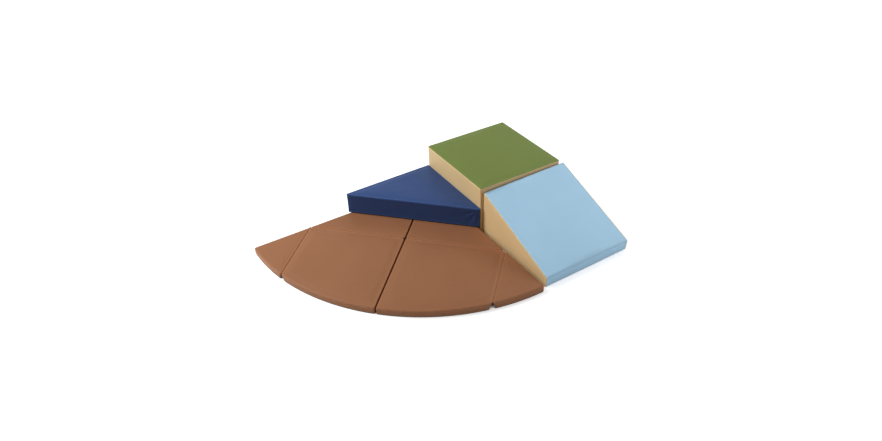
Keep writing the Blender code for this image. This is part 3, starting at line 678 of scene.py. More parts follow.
    def sew(self, pucker: object = None) -> None:
        """Work out the finished surface: swell it, add its welts and its unevenness.

        Args:
            pucker: a function from points in the pad's frame to a height, or nothing.
        """
        grid, near, self.parts, slack = self.rings()
        if self.still is not None:
            (x0, x1), (y0, y1) = self.still
            inside = (grid[..., 0] > x0) & (grid[..., 0] < x1) & (grid[..., 1] > y0) & (grid[..., 1] < y1)
            slack = np.where(inside, 0.0, slack)
        grid = grid + swollen(grid, slack, self.swell, self.voxel)
        under = self.parts == Part.BASE.value
        rise = self.welt * np.exp(-((near - WELT_AT) / WELT_WIDTH) ** 2)
        rise -= STITCH_DEPTH * self.welt * np.exp(-(near / STITCH_WIDTH) ** 2)
        rise[under] = 0.0
        rise += self.uneven * slack * ripple(grid, self.seed, UNEVEN_WAVE)
        if pucker is not None:
            rise += pucker(grid)
        grid = grid + grid_normals(grid) * rise[..., None]
        # Seam paleness: partly rubbing wear, partly a painted highlight along the raised seams.
        seam = np.exp(-((near - PALE_SEAM_AT) / PALE_SEAM_WIDTH) ** 2)
        seam[under] *= UNDER_PALE_SEAM
        self.seam = seam[:, ::-1] if self.mirror else seam
        self.grid = set_in(grid, self.place, self.mirror)
        self.normals = grid_normals(self.grid)

    def cover(self, part: Part, columns: Array | None = None) -> Skin:
        """Return one cover of the pad, its edges turned in at its seams.

        Args:
            part: which cover.
            columns: the columns of an open stretch of it, or nothing for all round.

        Returns:
            The open skin, which needs a wall.
        """
        rows = np.flatnonzero(self.parts == part.value)
        chosen = np.arange(self.grid.shape[1]) if columns is None else columns
        sheet, inward = (np.dstack(fields)[rows][:, chosen] for fields in (
            (self.grid, self.seam), (self.normals * TUCK, np.zeros_like(self.seam)),
        ))
        if part is not Part.BASE:
            sheet = np.concatenate((sheet[:1] - inward[:1], sheet))
        if part is not Part.TOP:
            sheet = np.concatenate((sheet, sheet[-1:] - inward[-1:]))
        if columns is not None:
            edge = sheet[:, (0, -1)] - inward[[0, *range(len(rows)), -1]][:, (0, -1)]
            sheet = np.concatenate((edge[:, :1], sheet, edge[:, 1:]), axis=1)
        height, width = sheet.shape[:2]
        points, faces = sheet.reshape(-1, 4), grid_faces(height, width, columns is None)
        if part is not Part.SIDE:
            over = part is Part.TOP
            faces += fan((height - 1) * width if over else 0, width, len(points), over)
            points = np.vstack((points, sheet[-1 if over else 0].mean(axis=0) * (1, 1, 1, 0)))
        return Skin(points[:, :3], faces, points[:, 3].copy())

    def core(self) -> Skin:
        """Return the foam core: the same form, deeper and coarser, closed at its two middles."""
        grid = self.rings(CORE_DEPTH)[0][::2]
        return Skin(*capped(set_in(grid, self.place, self.mirror)[:, ::3]))

    def path(self, border: int, inset: float) -> tuple[Array, Array]:
        """Return a line on the head along one border, and the normals there.

        Args:
            border: which border.
            inset: the line's distance from the seam.

        Returns:
            Points and normals in the frame's space.
        """
        tops, along = np.flatnonzero(self.parts == Part.TOP.value), self.outline.stretch(border)
        gaps = self.rings()[1][tops][:, along].mean(axis=1)
        row = tops[int(np.abs(gaps - inset).argmin())]
        columns = self.grid.shape[1] - 1 - along if self.mirror else along
        return self.grid[row, columns], self.normals[row, columns]


def search_tree(points: Array) -> KDTree:
    """Return a tree that finds the nearest of some points."""
    tree = KDTree(len(points))
    for i, point in enumerate(points):
        tree.insert(point, i)
    tree.balance()
    return tree


def swollen(grid: Array, slack: Array, most: float, voxel: float) -> Array:
    """Return how a closed cover moves when it is blown up as cloth.

    A copy of the grid is remeshed evenly and simulated for 20 frames with pressure
    and no gravity.  It is sewn down where the slack is 0.  Each grid point then takes
    the mean of the moves of its nearest simulated points.

    Args:
        grid: the cover's grid of points.
        slack: how free each point is, from 0 to 1.
        most: the longest move that is kept.
        voxel: the size of the even mesh.

    Returns:
        A move for each grid point.
    """
    points, faces = capped(grid)
    mesh = bpy.data.meshes.new("blown_up")
    mesh.from_pydata(points.tolist(), [], faces)
    balloon = bpy.data.objects.new("blown_up", mesh)
    scene = bpy.context.scene
    scene.collection.objects.link(balloon)
    remesh = balloon.modifiers.new("even", "REMESH")
    remesh.mode, remesh.voxel_size = "VOXEL", voxel
    balloon_now = balloon.evaluated_get(bpy.context.evaluated_depsgraph_get())
    even = bpy.data.meshes.new_from_object(balloon_now)
    balloon.modifiers.clear()
    balloon.data = even
    start = vertices(even)

    flat_slack = slack.reshape(-1)
    known = search_tree(points[:len(flat_slack)])
    free = np.array([flat_slack[known.find(p)[1]] for p in start])
    held = balloon.vertex_groups.new(name="sewn")
    levels = np.round((1 - free) * SEWN_LEVELS).astype(int)
    for level in range(SEWN_LEVELS + 1):
        held.add(np.flatnonzero(levels == level).tolist(), level / SEWN_LEVELS, "REPLACE")
    settings = balloon.modifiers.new("cloth", "CLOTH").settings
    settings.quality, settings.mass = 5, 0.3
    settings.tension_stiffness = settings.compression_stiffness = 15
    settings.shear_stiffness, settings.bending_stiffness = 5, 0.5
    settings.use_pressure, settings.uniform_pressure_force = True, 4
    settings.vertex_group_mass, settings.pin_stiffness = "sewn", 1.0
    settings.shrink_min = -0.004
    settings.effector_weights.gravity = 0
    for step in range(1, CLOTH_FRAMES + 1):
        scene.frame_set(step)
    end = vertices(balloon.evaluated_get(bpy.context.evaluated_depsgraph_get()).to_mesh())
    move = end - start
    length = np.linalg.norm(move, axis=1, keepdims=True)
    move *= np.minimum(1, most / np.maximum(length, 1e-9))
    bpy.data.objects.remove(balloon)
    scene.frame_set(1)

    near = search_tree(start)
    result = np.zeros((len(flat_slack), 3))
    for i in np.flatnonzero(flat_slack > 0):
        found = near.find_n(points[i], NEIGHBOURS)
        weights = np.array([1 / (d + voxel / 4) for _, _, d in found])
        result[i] = weights @ move[[index for _, index, _ in found]] / weights.sum()
    result *= flat_slack[:, None] ** 0.5
    LOG.info("blown up: %d points, longest move %.1f mm", len(start), length.max() * 1000)
    return result.reshape(grid.shape)


# Small sewn things


@dataclass(frozen=True)
class Stitching:
    """A row of machine stitches along a line."""

    pitch: float = 0.0042
    length: float = 0.0033
    thread: float = 0.00030         # radius of the thread

    def skin(self, path: Array, normals: Array) -> Skin:
        """Return every stitch: a short thread whose two ends dip into the cloth.

        Args:
            path: the line's points.
            normals: the cloth's normals along it.

        Returns:
            The stitches as one skin.
        """
        far = np.concatenate(([0.0], np.cumsum(np.linalg.norm(np.diff(path, axis=0), axis=1))))
        count = int(far[-1] / self.pitch)
        at = (np.arange(count) + 0.5) * far[-1] / count

        def read(values: Array, shift: float = 0.0) -> Array:
            """Return the line's values at every stitch, or a little way from it."""
            return np.column_stack([np.interp(at + shift, far, values[:, k]) for k in range(3)])

        along = read(path, self.pitch / 4) - read(path, -self.pitch / 4)
        along /= np.linalg.norm(along, axis=1, keepdims=True)
        out = read(normals)
        out -= (out * along).sum(axis=1, keepdims=True) * along
        out /= np.linalg.norm(out, axis=1, keepdims=True)
        axes = [way[:, None, None] for way in (along, np.cross(out, along), out)]
        place = np.array((-0.5, -0.36, -0.12, 0.12, 0.36, 0.5))
        lift = self.thread * np.array((-1.0, 0.15, 0.5, 0.5, 0.15, -1.0))
        girth = self.thread * np.array((0.5, 0.95, 1, 1, 0.95, 0.5))
        rings, sides = len(place), 5
        a = np.arange(sides) * 2 * np.pi / sides
        ring_across, ring_out = girth[:, None] * np.cos(a), lift[:, None] + girth[:, None] * np.sin(a)
        ring_along = np.broadcast_to(place[:, None] * self.length, ring_out.shape)
        points = read(path)[:, None, None]
        for move, axis in zip((ring_along, ring_across, ring_out), axes):
            points = points + move[None, ..., None] * axis
        size = rings * sides
        ends = [tuple(range(sides)), tuple(range(size - 1, size - 1 - sides, -1))]
        one = [tuple(reversed(f)) for f in grid_faces(rings, sides)] + ends
        return Skin(points.reshape(-1, 3), repeated(one, count, size))


def repeated(faces: list, count: int, size: int) -> list:
    """Return the faces of many like shapes, each with the same number of points."""
    return [tuple(i + size * k for i in face) for k in range(count) for face in faces]


def bar_faces(sides: int) -> list:
    """Return the faces of a bar between two rings of points, with its flat ends."""
    return grid_faces(2, sides) + [tuple(range(sides - 1, -1, -1)), tuple(range(sides, 2 * sides))]


def rounded_slab(low: Vector, high: Vector, soft: float, place: Matrix, mirror: bool = False) -> Skin:
    """Return a flat strip with round corners and soft edges.

    The grid's columns follow a rounded rectangle and its rows climb a quarter circle
    at the foot and at the head.

    Args:
        low: one corner.
        high: the opposite corner.
        soft: radius of its edges.
        place: its own frame.
        mirror: whether y is turned over.

    Returns:
        The closed skin.
    """
    corner = min(high[0] - low[0], high[1] - low[1]) / 8
    reaches = (high[0], high[1], -low[0], -low[1])
    borders = tuple(Border(reach, QUARTER * i, corner=corner) for i, reach in enumerate(reaches))
    outline = Outline(borders, pitch=0.02, corner_points=5)
    rows = []
    for height, way, turns in ((low[2] + soft, -1, (1, 0.5, 0)), (high[2] - soft, 1, (0, 0.5, 1))):
        for turn in turns:
            flat = outline.points([soft * (1 - math.cos(QUARTER * turn))] * 4)
            level = height + way * soft * math.sin(QUARTER * turn)
            rows.append(np.column_stack((flat, np.full(len(flat), level))))
    return Skin(*capped(set_in(np.array(rows), place, mirror)))


def cord(start: Array, end: Array, radius: float, place: Matrix, wear_and_highlight: float, mirror: bool = False) -> Skin:
    """Return a straight round cord: rings that climb along it, closed at both ends.

    Args:
        start: the middle of one end.
        end: the middle of the other.
        radius: its radius.
        place: its own frame, whose z is up.
        wear_and_highlight: how much paler it is painted, up to 1: rubbing wear plus painted highlight.
        mirror: whether y is turned over.

    Returns:
        The closed skin.
    """
    along, up = (end - start) / np.linalg.norm(end - start), np.array((0.0, 0.0, 1.0))
    turns = np.arange(CORD_SIDES) * 2 * np.pi / CORD_SIDES
    ring = radius * (np.cos(turns)[:, None] * up + np.sin(turns)[:, None] * np.cross(along, up))
    points = set_in(np.array((start + ring, end + ring)), place, mirror).reshape(-1, 3)
    return Skin(points, bar_faces(CORD_SIDES), np.full(len(points), wear_and_highlight))


@dataclass(frozen=True)
class Strip:
    """A flat strip of cloth or of hook and loop, with a stitched edge if it has room."""

    name: str
    node: str
    body: str
    finish: Finish
    wear_and_highlight: float = 0.0               # how much paler it is painted, up to 1: rubbing wear plus painted highlight
    soft: float = 0.0003            # radius of its edges
    hem: float = 0.003              # from its edge to its stitches

    def build(self, place: Matrix, low: tuple, high: tuple, face: int = 1, stitched: bool = True,
              mirror: bool = False) -> None:
        """Build the strip in a frame whose z is its thickness.

        Args:
            place: the strip's frame.
            low: its low corner.
            high: its high corner.
            face: which way its stitched face looks along z.
            stitched: whether it has a stitched edge.
            mirror: whether y is turned over.
        """
        skin = rounded_slab(Vector(low), Vector(high), self.soft, place, mirror)
        # Painted paler by its share: rubbing wear plus a painted highlight on the raised fold.
        skin.seam = np.full(len(skin.points), self.wear_and_highlight)
        add_piece(self.name, skin, self.finish, self.body, (self.node,))
        if not stitched:
            return
        x0, y0, x1, y1 = low[0] + self.hem, low[1] + self.hem, high[0] - self.hem, high[1] - self.hem
        loop = ((x0, y0), (x1, y0), (x1, y1), (x0, y1), (x0, y0))
        level = high[2] if face > 0 else low[2]
        points = set_in(np.column_stack((loop, np.full(len(loop), level))), place, mirror)
        normals = np.broadcast_to(np.array(place.to_3x3()) @ (0, 0, face), points.shape)
        rows = [Stitching().skin(points[i:i + 2], normals[i:i + 2]) for i in range(len(loop) - 1)]
        add_piece(f"{self.name}_stitches", joined(rows), Finish.BLACK_THREAD, self.body)


@dataclass(frozen=True)
class Zip:
    """A sewn zip: woven tape, interlocked teeth, end stops, slider and pull."""

    module: str
    length: float = 0.440
    tape_width: float = 0.028
    tape: float = 0.0008            # thickness of the tape
    tape_soft: float = 0.0002       # radius of its edges
    hem: float = 0.0025             # from the tape's edge to its stitches
    chain_width: float = 0.0060
    chain: float = 0.0016           # height of the teeth over the tape
    pitch: float = 0.0030           # from tooth to tooth
    sunk: float = 0.0001            # how deep teeth and stops sit in the tape
    lap: float = 0.0006             # how far a tooth reaches past the middle
    stop_length: float = 0.0030
    stop_proud: float = 0.0008      # how far a stop stands past the chain, and from its first tooth
    stop_inset: float = 0.0002      # from the tape's end to the stop

    def build(self, body: str) -> None:
        """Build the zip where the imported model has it, with x along the chain and z out of the cover.

        Args:
            body: the body that carries the tape.
        """
        name = f"{self.module}_zip"
        low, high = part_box(name)
        size, ways = high - low, (Vector((1, 0, 0)), Vector((0, 1, 0)))
        along, out = ways if size.x > size.y else ways[::-1]
        place = Matrix((along, out.cross(along), out)).transposed().to_4x4()
        place.translation = (low + high) / 2 - out * (size.dot(out) / 2)
        end, half = self.length / 2, self.tape_width / 2
        tape = rounded_slab(Vector((-end, -half, 0)), Vector((end, half, self.tape)), self.tape_soft, place)
        add_piece(f"{name}_tape", tape, Finish.TAPE, body, (name,))
        normals, rows = np.tile(np.array(place.to_3x3())[:, 2], (2, 1)), []
        for y in (self.hem - half, half - self.hem):
            points = set_in(np.array(((-end, y, self.tape), (end, y, self.tape))), place)
            rows.append(Stitching().skin(points, normals))
        add_piece(f"{name}_stitches", joined(rows), Finish.BLACK_THREAD, body)
        teeth = self.teeth()
        teeth.points = set_in(teeth.points, place)
        add_piece(f"{name}_teeth", teeth, Finish.COIL, body)
        for part in ("slider", "pull"):
            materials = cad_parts[f"{name}_{part}"].data.materials
            materials.clear()
            materials.append(Finish.METAL.material)

    def teeth(self) -> Skin:
        """Return two rows of short rounded bars, half a pitch apart, and the end stops."""
        reach = self.length / 2 - self.stop_length - self.stop_proud
        a = np.linspace(0, np.pi, 6)
        base, top = self.tape - self.sunk, self.tape + self.chain
        arch = np.column_stack((-np.cos(a) * self.pitch * 0.24, base + (top - base) * np.sin(a) ** 0.6))
        arch[0, 1] = arch[-1, 1] = base
        parts, count = [], int(2 * reach / self.pitch) - 1
        for way, lag in ((1, 1.0), (-1, 0.5)):
            grid = np.empty((count, 2, len(a), 3))
            grid[..., 0] = (-reach + self.pitch * (np.arange(count) + lag))[:, None, None] + arch[:, 0]
            grid[..., 1] = np.array((-self.lap * way, self.chain_width / 2 * way))[:, None]
            grid[..., 2] = arch[:, 1]
            one = [tuple(reversed(f)) if way > 0 else f for f in bar_faces(len(a))]
            parts.append(Skin(grid.reshape(-1, 3), repeated(one, count, 2 * len(a))))
        wide = self.chain_width / 2 + self.stop_proud
        for way in (-1, 1):
            ends = self.length / 2 - self.stop_inset, self.length / 2 - self.stop_length
            x = sorted((way * ends[0], way * ends[1]))
            low, high = Vector((x[0], -wide, base)), Vector((x[1], wide, top + self.stop_proud))
            parts.append(rounded_slab(low, high, 0.0005, Matrix()))
        return joined(parts)


# Modules


def plan_zero() -> Vector:
    """Return the floor point under the platform's back left corner, the mat's own zero."""
    low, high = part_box("platform_base_cover")
    return Vector((low.x, high.y, 0))


@dataclass(frozen=True)
class Cover:
    """One sewn cover of a pad, named after the pad."""

    name: str
    part: Part
    finish: Finish
    node: str
    fill: float = 0.0               # how full a padded cover looks, or 0 for a plain one
    columns: Array | None = None    # the open stretch that it covers, or nothing for all round


def dress(pad: Pad, name: str, body: str, covers: tuple[Cover, ...]) -> None:
    """Add a sewn pad's covers and its foam core.

    Args:
        pad: the pad.
        name: what the names of its pieces and nodes start with.
        body: the body that they ride on.
        covers: its covers.
    """
    for c in covers:
        add_piece(f"{name}_{c.name}", pad.cover(c.part, c.columns), c.finish, body, (f"{name}_{c.node}",),
                  CLOTH)
    add_piece(f"{name}_core", pad.core(), Finish.FOAM, body, (f"{name}_foam",))


GRIP_STACK = 0.0033                 # hook, loop and their clearances
GRIP_START = 0.0328                 # from the mat's middle line to the strips under the step
GRIP_REACH = 0.230                  # from the mat's zero to their middle
GRIP_LENGTH, GRIP_HALF = 0.120, 0.025


@dataclass
class Platform:
    """The square platform: green top, tan sides, non-slip base."""

    width: float = 0.500
    depth: float = 0.500
    height: float = 0.272
    crown: float = 0.003
    draw: float = 0.0012
    settled: float = 0.060          # how much of its height it loses for each metre to the right

    def build(self) -> None:
        """Build the covers, the core, the hook strip and the zip."""
        place = Matrix.Translation(plan_zero())
        slacks = (0.3, 0.3, 0.0, 0.0)
        sides = tuple(
            Border(reach, QUARTER * i, slack=slacks[i], draw=self.draw if i == 2 else 0.0)
            for i, reach in enumerate((self.width, 0.0, 0.0, self.depth))
        )
        pad = Pad(Outline(sides), place, 0.0, self.height, self.crown, swell=0.0022, seed=11,
                  settled=self.settled)
        pad.sew()
        dress(pad, "platform", "platform", (
            Cover("green_top", Part.TOP, Finish.GREEN, "top_cover", 0.95),
            Cover("tan_sides", Part.SIDE, Finish.TAN, "side_cover"),
            Cover("grip_base", Part.BASE, Finish.GRIP, "base_cover"),
        ))
        level_strip("platform_hook_strip", "platform", -1)
        Zip("platform").build("platform")


def level_strip(node: str, body: str, face: int) -> None:
    """Build the level hook or loop strip between the platform and the ramp.

    Args:
        node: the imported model's strip.
        body: the body that carries it.
        face: which way its face looks along Y.
    """
    low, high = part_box(node)
    upright = Matrix(((1, 0, 0), (0, 0, -1), (0, 1, 0))).to_4x4()
    flat_low, flat_high = (low.x, low.z, -high.y), (high.x, high.z, -low.y)
    Strip(f"{node}_pile", node, body, Finish.PILE).build(upright, flat_low, flat_high, -face)


@dataclass
class Ramp:
    """The ramp: light blue slide over the toe, tan sides and back, non-slip base."""

    length: float = 0.510
    width: float = 0.506
    height: float = 0.248
    toe: float = 0.057
    lean: float = 0.005
    toe_corner: float = 0.012
    offset: float = 0.016
    platform_depth: float = 0.500

    def borders(self) -> tuple[Border, ...]:
        """Return the ramp's side view: base, toe, slide and back."""
        slope = math.atan2(self.height - self.toe, self.length)
        toe = math.atan2(self.lean, self.toe)
        return (
            Border(0.0, -QUARTER),
            Border(self.length * math.cos(toe) - self.toe * math.sin(toe), -toe, draw=-0.0015, slack=0.5),
            Border(self.height * math.cos(slope), QUARTER - slope, self.toe_corner, draw=-0.003, slack=1.0),
            Border(0.0, math.pi),
        )

    def build(self) -> None:
        """Build the covers, the core, the loop strip and the zip."""
        upright = Matrix(((0, 0, -1), (-1, 0, 0), (0, 1, 0))).to_4x4()
        corner = Vector((self.offset + self.width, -self.platform_depth - GRIP_STACK, 0))
        place = Matrix.Translation(plan_zero() + corner) @ upright
        outline = Outline(self.borders())
        pad = Pad(outline, place, 0.0, self.width, crown=0.005, foot_roll=0.0025, head_slack=0.25,
                  foot_slack=0.25, swell=0.0025, seed=23)
        pad.sew()
        cut, columns = [outline.middle_of_corner(i) for i in range(4)], pad.grid.shape[1]

        def between(first: int, last: int) -> Array:
            """Return the columns from one seam to the next."""
            return np.arange(cut[first], cut[last] + (columns if last <= first else 0) + 1) % columns

        dress(pad, "ramp", "ramp", (
            Cover("tan_left", Part.TOP, Finish.TAN, "left_cover"),
            Cover("tan_right", Part.BASE, Finish.TAN, "right_cover"),
            Cover("blue_slide", Part.SIDE, Finish.LIGHT_BLUE, "slide_cover", 0.95, between(1, 3)),
            Cover("tan_back", Part.SIDE, Finish.TAN, "back_cover", columns=between(3, 0)),
            Cover("grip_base", Part.SIDE, Finish.GRIP, "base_cover", columns=between(0, 1)),
        ))
        level_strip("ramp_loop_strip", "ramp", 1)
        Zip("ramp").build("ramp")


@dataclass
class Step:
    """The navy triangular step, which stands on the mat's square corner."""

    leg: float = 0.510
    height: float = 0.116
    foot: float = 0.0383
    hollow: float = 0.003
    clearance: float = 0.0003
    draw: float = 0.002
    crown: float = 0.003
    tip: Triple = (-0.012, -0.497, -0.012)      # the last from the step's top
    pucker: float = 0.0024          # height of the folds at the tip
    pucker_reach: float = 0.07      # how far from the tip they die away
    pucker_turns: float = 11.0      # waves of the folds to the radian

    def puckers(self, points: Array) -> Array:
        """Return the folds that fan out of the blunt right tip of the front side.

        The height is a sine of the angle about the tip's upper corner, and it dies
        away with the distance from it.

        Args:
            points: places in the plan's frame.

        Returns:
            How far the cover stands out at each.
        """
        apart = points - np.array((self.tip[0], self.tip[1], self.foot + self.height + self.tip[2]))
        along, drop = np.hypot(apart[..., 0], apart[..., 1]), -apart[..., 2]
        far = np.sqrt(along ** 2 + drop ** 2)
        fade = np.exp(-(far / self.pucker_reach) ** 2)
        fade *= np.clip(far / 0.02, 0, 1) * np.clip(drop / 0.01, 0, 1)
        return self.pucker * fade * np.sin(np.arctan2(drop, along) * self.pucker_turns)

    def build(self) -> None:
        """Build the covers, the core, the hook strips and the zip."""
        gap = self.clearance
        sides = (
            Border(-gap, 0.0, corner=0.005),
            Border(-gap, QUARTER, slack=0.3),
            Border((self.leg + 2 * gap) / math.sqrt(2), MAT_TURN, corner=0.005, draw=self.draw, slack=0.5),
        )
        pad = Pad(Outline(sides, pitch=0.006), Matrix.Translation(plan_zero()), self.foot,
                  self.foot + self.height, self.crown, foot_roll=0.0055, hollow=self.hollow, ring_pitch=0.006,
                  swell=0.0025, seed=37, voxel=0.007)
        pad.sew(self.puckers)
        dress(pad, "step", "step", (
            Cover("navy_top", Part.TOP, Finish.NAVY, "top_cover", 0.9),
            Cover("navy_sides", Part.SIDE, Finish.NAVY, "side_cover"),
            Cover("grip_base", Part.BASE, Finish.GRIP, "base_cover"),
        ))
        for side, mirror in SIDES:
            grip_on_mat(f"step_{side}_hook_strip", "step", mirror, -1)
        Zip("step").build("step")


def mat_place() -> Matrix:
    """Return the mat's own frame: x along its middle line, y to its right half."""
    return Matrix.Translation(plan_zero()) @ Matrix.Rotation(MAT_TURN, 4, "Z")


def grip_on_mat(node: str, body: str, mirror: bool, face: int) -> None:
    """Build a hook or loop strip under the step, beside the mat's centre seam.

    Args:
        node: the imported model's strip.
        body: the body that carries it.
        mirror: whether it belongs to the left half.
        face: which way it looks along Z.
    """
    low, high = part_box(node)
    Strip(f"{node}_pile", node, body, Finish.PILE).build(
        mat_place(), (GRIP_REACH - GRIP_HALF, GRIP_START, low.z),
        (GRIP_REACH + GRIP_HALF, GRIP_START + GRIP_LENGTH, high.z), face, mirror=mirror
    )


@dataclass
class Mat:
    """The quarter-circle folding mat: six padded panels joined along five folds."""

    radius: float = 1.029
    thickness: float = 0.038
    cross: float = 0.517
    flap: float = 0.506
    inset: float = 0.008
    roll: float = 0.007
    crown: float = 0.003
    flap_crown: float = 0.0012
    seam_roll: float = 0.002
    lean: float = 0.010
    corner: float = 0.007
    point: float = 0.006
    meeting: float = 0.008
    strip_half: float = 0.0023
    groove_half: float = 0.0028
    groove_lean: float = 0.0015
    groove_roll: float = 0.003
    sunk: float = 0.0006            # how far the strips at the top folds lie below the tops
    tuck: float = 0.0006            # how far they reach under their own panel's edge
    axis: float = 0.00215           # from the middle of a top fold to the line it turns about
    piping: float = 0.00085         # radius of the cord sewn along that line
    centre_low: float = 0.0018      # height of the strips at the centre fold
    centre_half: float = 0.0025     # half their width
    stitch_inset: float = 0.0062    # from a fold's seam to its stitches

    def seam(self, reach: float, bearing: float, corner: float) -> Border:
        """Return a border along a fold at the top of the mat."""
        return Border(reach, bearing, corner, self.seam_roll, foot_in=self.lean)

    def groove(self, corner: float) -> Border:
        """Return the border along the centre groove."""
        return Border(-self.groove_half, -QUARTER, corner, self.groove_roll, head_in=self.groove_lean)

    def edge(self, corner: float) -> Border:
        """Return the straight free border."""
        return Border(-self.inset, QUARTER * 1.5, corner, self.roll, slack=0.0)

    def arc(self, corner: float) -> Border:
        """Return the free border along the mat's arc."""
        return Border(self.radius, None, corner, self.roll, slack=0.4)

    def panels(self) -> dict[str, tuple[tuple[Border, ...], float, float, tuple[int, ...]]]:
        """Return each panel's borders, crown, slack and the numbers of its folds."""
        half = self.strip_half
        centre = (
            self.groove(self.corner), self.arc(self.corner),
            self.seam(self.flap - half, QUARTER, self.corner),
            self.seam(-self.cross - half, math.pi, self.meeting),
        )
        flap = (
            self.seam(-self.flap - half, -QUARTER, self.point), self.arc(self.corner), self.edge(self.corner),
        )
        inner = (
            self.groove(self.point), self.seam(self.cross - half, 0.0, self.corner), self.edge(self.point),
        )
        return {
            "centre": (centre, self.crown, 1.0, (2, 3)),
            "flap": (flap, self.flap_crown, 0.8, (0,)),
            "inner": (inner, 0.0, 0.6, (1,)),
        }

    def build(self) -> None:
        """Build every panel of both halves, then the fold strips and the loop strips."""
        for number, (side, mirror) in enumerate(SIDES):
            for kind, (borders, crown, slack, folds) in self.panels().items():
                name = f"{side}_{kind}"
                body = f"mat_{side}_half" if kind == "centre" else f"mat_{name}"
                still = ((-1.0, 0.385), (-1.0, 1.0)) if kind == "inner" else None
                pad = Pad(Outline(borders), mat_place(), 0.0, self.thickness, crown, foot_roll=0.005,
                          mirror=mirror, head_slack=slack, swell=0.0028, welt=0.00035,
                          seed=41 + 7 * number + len(kind), voxel=0.006, still=still)
                pad.sew()
                dress(pad, name, body, (
                    Cover("brown_top", Part.TOP, Finish.BROWN, "top_cover", 0.8),
                    Cover("brown_band", Part.SIDE, Finish.BROWN, "side_band"),
                    Cover("grip_base", Part.BASE, Finish.GRIP, "base_cover"),
                ))
                rows = [Stitching().skin(*pad.path(border, self.stitch_inset)) for border in folds]
                add_piece(f"{name}_fold_stitches", joined(rows), Finish.BROWN_THREAD, body)
            self.strips(side, mirror)
        start = self.inset * math.sqrt(2) + self.corner + self.point
        for node, body, first, last in (
            ("centre", "half", self.cross + self.strip_half, self.radius - self.corner),
            ("inner_centre", "inner", start, self.cross + 0.002),
        ):
            self.strip(f"{node}_fold_strip", f"mat_right_{body}", (first, -self.centre_half, self.centre_low),
                       (last, self.centre_half, self.centre_low + CLOTH))

    def strip(self, node: str, body: str, low: tuple, high: tuple, mirror: bool = False,
              wear_and_highlight: float = 0.0) -> None:
        """Build one plain strip of brown cloth in the mat's frame."""
        Strip(f"{node}_cloth", node, body, Finish.BROWN, wear_and_highlight).build(
            mat_place(), low, high, stitched=False, mirror=mirror
        )

    def strips(self, side: str, mirror: bool) -> None:
        """Build one half's cross strip, flap strip, their piping and the loop strip.

        Args:
            side: right or left.
            mirror: whether it is the left half.
        """
        half, high = self.strip_half - SLIT, self.thickness - self.sunk
        low, border, body = high - CLOTH, self.inset * math.sqrt(2), f"mat_{side}_half"
        end = math.sqrt(self.radius ** 2 - self.flap ** 2) - self.corner
        start = (self.cross, self.groove_half + self.corner), (self.flap + border + self.sunk, self.flap)
        stop = (self.cross, self.cross - border - self.corner), (end, self.flap)
        self.strip(f"{side}_cross_fold_strip", body, (start[0][0] - half, start[0][1], low),
                   (stop[0][0] + half + self.tuck, stop[0][1], high), mirror, CROSS_WEAR_AND_HIGHLIGHT)
        self.strip(f"{side}_flap_fold_strip", body, (start[1][0], start[1][1] - half - self.tuck, low),
                   (stop[1][0], stop[1][1] + half, high), mirror, FLAP_WEAR_AND_HIGHLIGHT)
        for fold, first, last, way, wear_and_highlight in (
            ("cross", start[0], stop[0], (-1, 0, 0), CROSS_WEAR_AND_HIGHLIGHT),
            ("flap", start[1], stop[1], (0, 1, 0), FLAP_WEAR_AND_HIGHLIGHT),
        ):
            shift = np.array(way) * self.axis
            ends = [np.array((*point, self.thickness + SLIT)) + shift for point in (first, last)]
            piping = cord(*ends, self.piping, mat_place(), wear_and_highlight, mirror)
            add_piece(f"{side}_{fold}_fold_piping", piping, Finish.BROWN, body)
        grip_on_mat(f"{side}_inner_loop_strip", f"mat_{side}_inner", mirror, 1)


# Studio


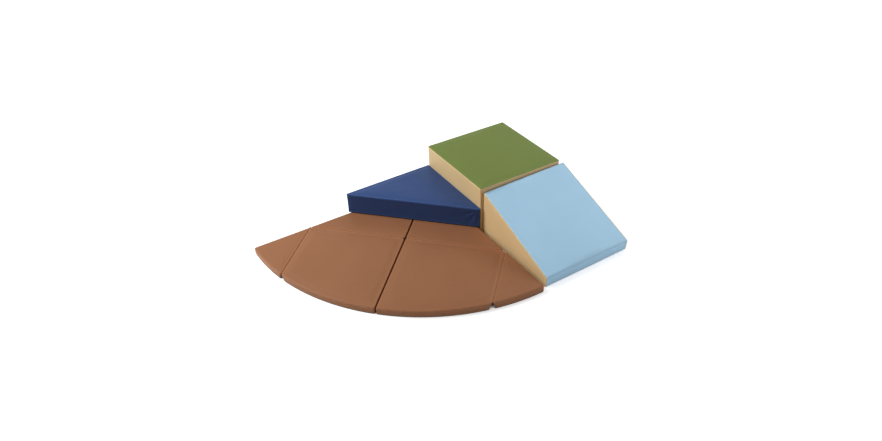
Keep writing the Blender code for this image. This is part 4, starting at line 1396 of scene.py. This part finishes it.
@dataclass(frozen=True)
class Studio:
    """The pale floor, the soft lamps and the camera at the photograph's angle."""

    eye: Triple = (-1.35761, -2.27031, 2.1665)
    yaw: float = math.radians(-31.07)
    pitch: float = math.radians(36.77)
    roll: float = math.radians(-1.79)
    focal_pixels: float = 685.1
    picture_width: float = 882.0
    sensor: float = 36.0
    lamps: tuple = (
        ("key", (-2.9, 1.5, 2.4), 2.4, 72.0), ("high", (-2.0, 1.8, 3.2), 1.6, 75.0),
        ("right", (3.0, 0.3, 2.2), 2.0, 31.0), ("low", (2.6, -2.0, 0.7), 1.2, 20.0),
    )                                                   # name, place, side and watts
    room_light: float = 0.15                            # strength of the world's light on the object
    floor_reach: float = 30.0
    floor_drop: float = 0.0004                          # how far the floor lies under zero
    slot_reach: float = 0.05                            # how near a wall counts as shutting the floor in
    slot_open: tuple[float, float] = (0.14, 0.34)       # openness from which it glows, and glows fully
    glow_reach: tuple[float, float] = (1.2, 3.6)        # distances between which the glow grows
    glow: tuple[float, float] = (0.60, 0.93)            # its strength at each

    def build(self) -> None:
        """Set up the view, the world, the floor, the lamps and the camera."""
        scene = bpy.context.scene
        scene.view_settings.view_transform = "Standard"
        scene.world = self.world()
        self.floor()
        for lamp in self.lamps:
            self.lamp(*lamp)
        self.camera(scene)

    def world(self) -> bpy.types.World:
        """Return a world that lights evenly, and shows white behind the object and in reflections."""
        g = Graph(bpy.data.worlds.new("white_room"), "Background")
        strength = g.ranged(g.seen("Camera", "Glossy", "Transmission"), 0.0, 1.0, self.room_light)
        return g.dressed({"Color": (1, 1, 1, 1), "Strength": strength})

    def floor(self) -> None:
        """Lay a wide pale floor that looks white but keeps shadows, and is dark in narrow slots."""
        reach = self.floor_reach
        mesh = bpy.data.meshes.new("floor")
        corners = [(-reach, -reach, 0), (reach, -reach, 0), (reach, reach, 0), (-reach, reach, 0)]
        mesh.from_pydata(corners, [], [(0, 1, 2, 3)])
        floor = bpy.data.objects.new("floor", mesh)
        floor.location.z = -self.floor_drop
        bpy.context.scene.collection.objects.link(floor)
        g = Graph(bpy.data.materials.new("pale_floor"))
        sky = g.add("ShaderNodeAmbientOcclusion", {"Distance": self.slot_reach}, samples=8).outputs["AO"]
        away = g.add("ShaderNodeVectorMath", {0: g.coordinates}, operation="LENGTH").outputs["Value"]
        growing = g.ranged(away, *self.glow_reach, *self.glow)
        glow = g.maths("MULTIPLY", g.ranged(sky, *self.slot_open), growing)
        mesh.materials.append(g.dressed({
            "Base Color": (0.86, 0.86, 0.86, 1),
            "Roughness": 0.9,
            "Emission Color": (1, 1, 1, 1),
            "Emission Strength": g.maths("MULTIPLY", g.seen("Camera", "Glossy"), glow),
        }))

    def lamp(self, name: str, place: Triple, size: float, power: float) -> None:
        """Hang a square soft lamp that looks at the climber.

        Args:
            name: the lamp's name.
            place: where it hangs.
            size: its side.
            power: its power in watts.
        """
        light = bpy.data.lights.new(name, "AREA")
        light.shape, light.size, light.energy = "SQUARE", size, power
        lamp = bpy.data.objects.new(name, light)
        lamp.location = place
        lamp.rotation_mode = "QUATERNION"
        lamp.rotation_quaternion = Vector(place).to_track_quat("Z", "Y")
        bpy.context.scene.collection.objects.link(lamp)

    def camera(self, scene: bpy.types.Scene) -> None:
        """Place the camera where the photograph's perspective puts it."""
        level = Vector((math.sin(-self.yaw), math.cos(-self.yaw), 0)) * math.cos(self.pitch)
        ahead = level - Vector((0, 0, math.sin(self.pitch)))
        right = Vector((math.cos(-self.yaw), -math.sin(-self.yaw), 0))
        up = right.cross(ahead)
        across = right * math.cos(self.roll) + up * math.sin(self.roll)
        above = up * math.cos(self.roll) - right * math.sin(self.roll)
        data = bpy.data.cameras.new("camera")
        data.sensor_width, data.clip_end = self.sensor, 100.0
        data.lens = self.focal_pixels * self.sensor / self.picture_width
        camera = bpy.data.objects.new("camera", data)
        turn = Matrix((across, above, -ahead)).transposed().to_4x4()
        camera.matrix_world = Matrix.Translation(self.eye) @ turn
        scene.collection.objects.link(camera)
        scene.camera = camera


def main() -> None:
    """Build the studio, then each module in turn."""
    logging.basicConfig(level=logging.INFO, format="%(name)s %(message)s")
    Studio().build()
    for module in (Platform(), Ramp(), Step(), Mat()):
        LOG.info("building the %s", type(module).__name__)
        module.build()


if __name__ == "__main__":
    main()
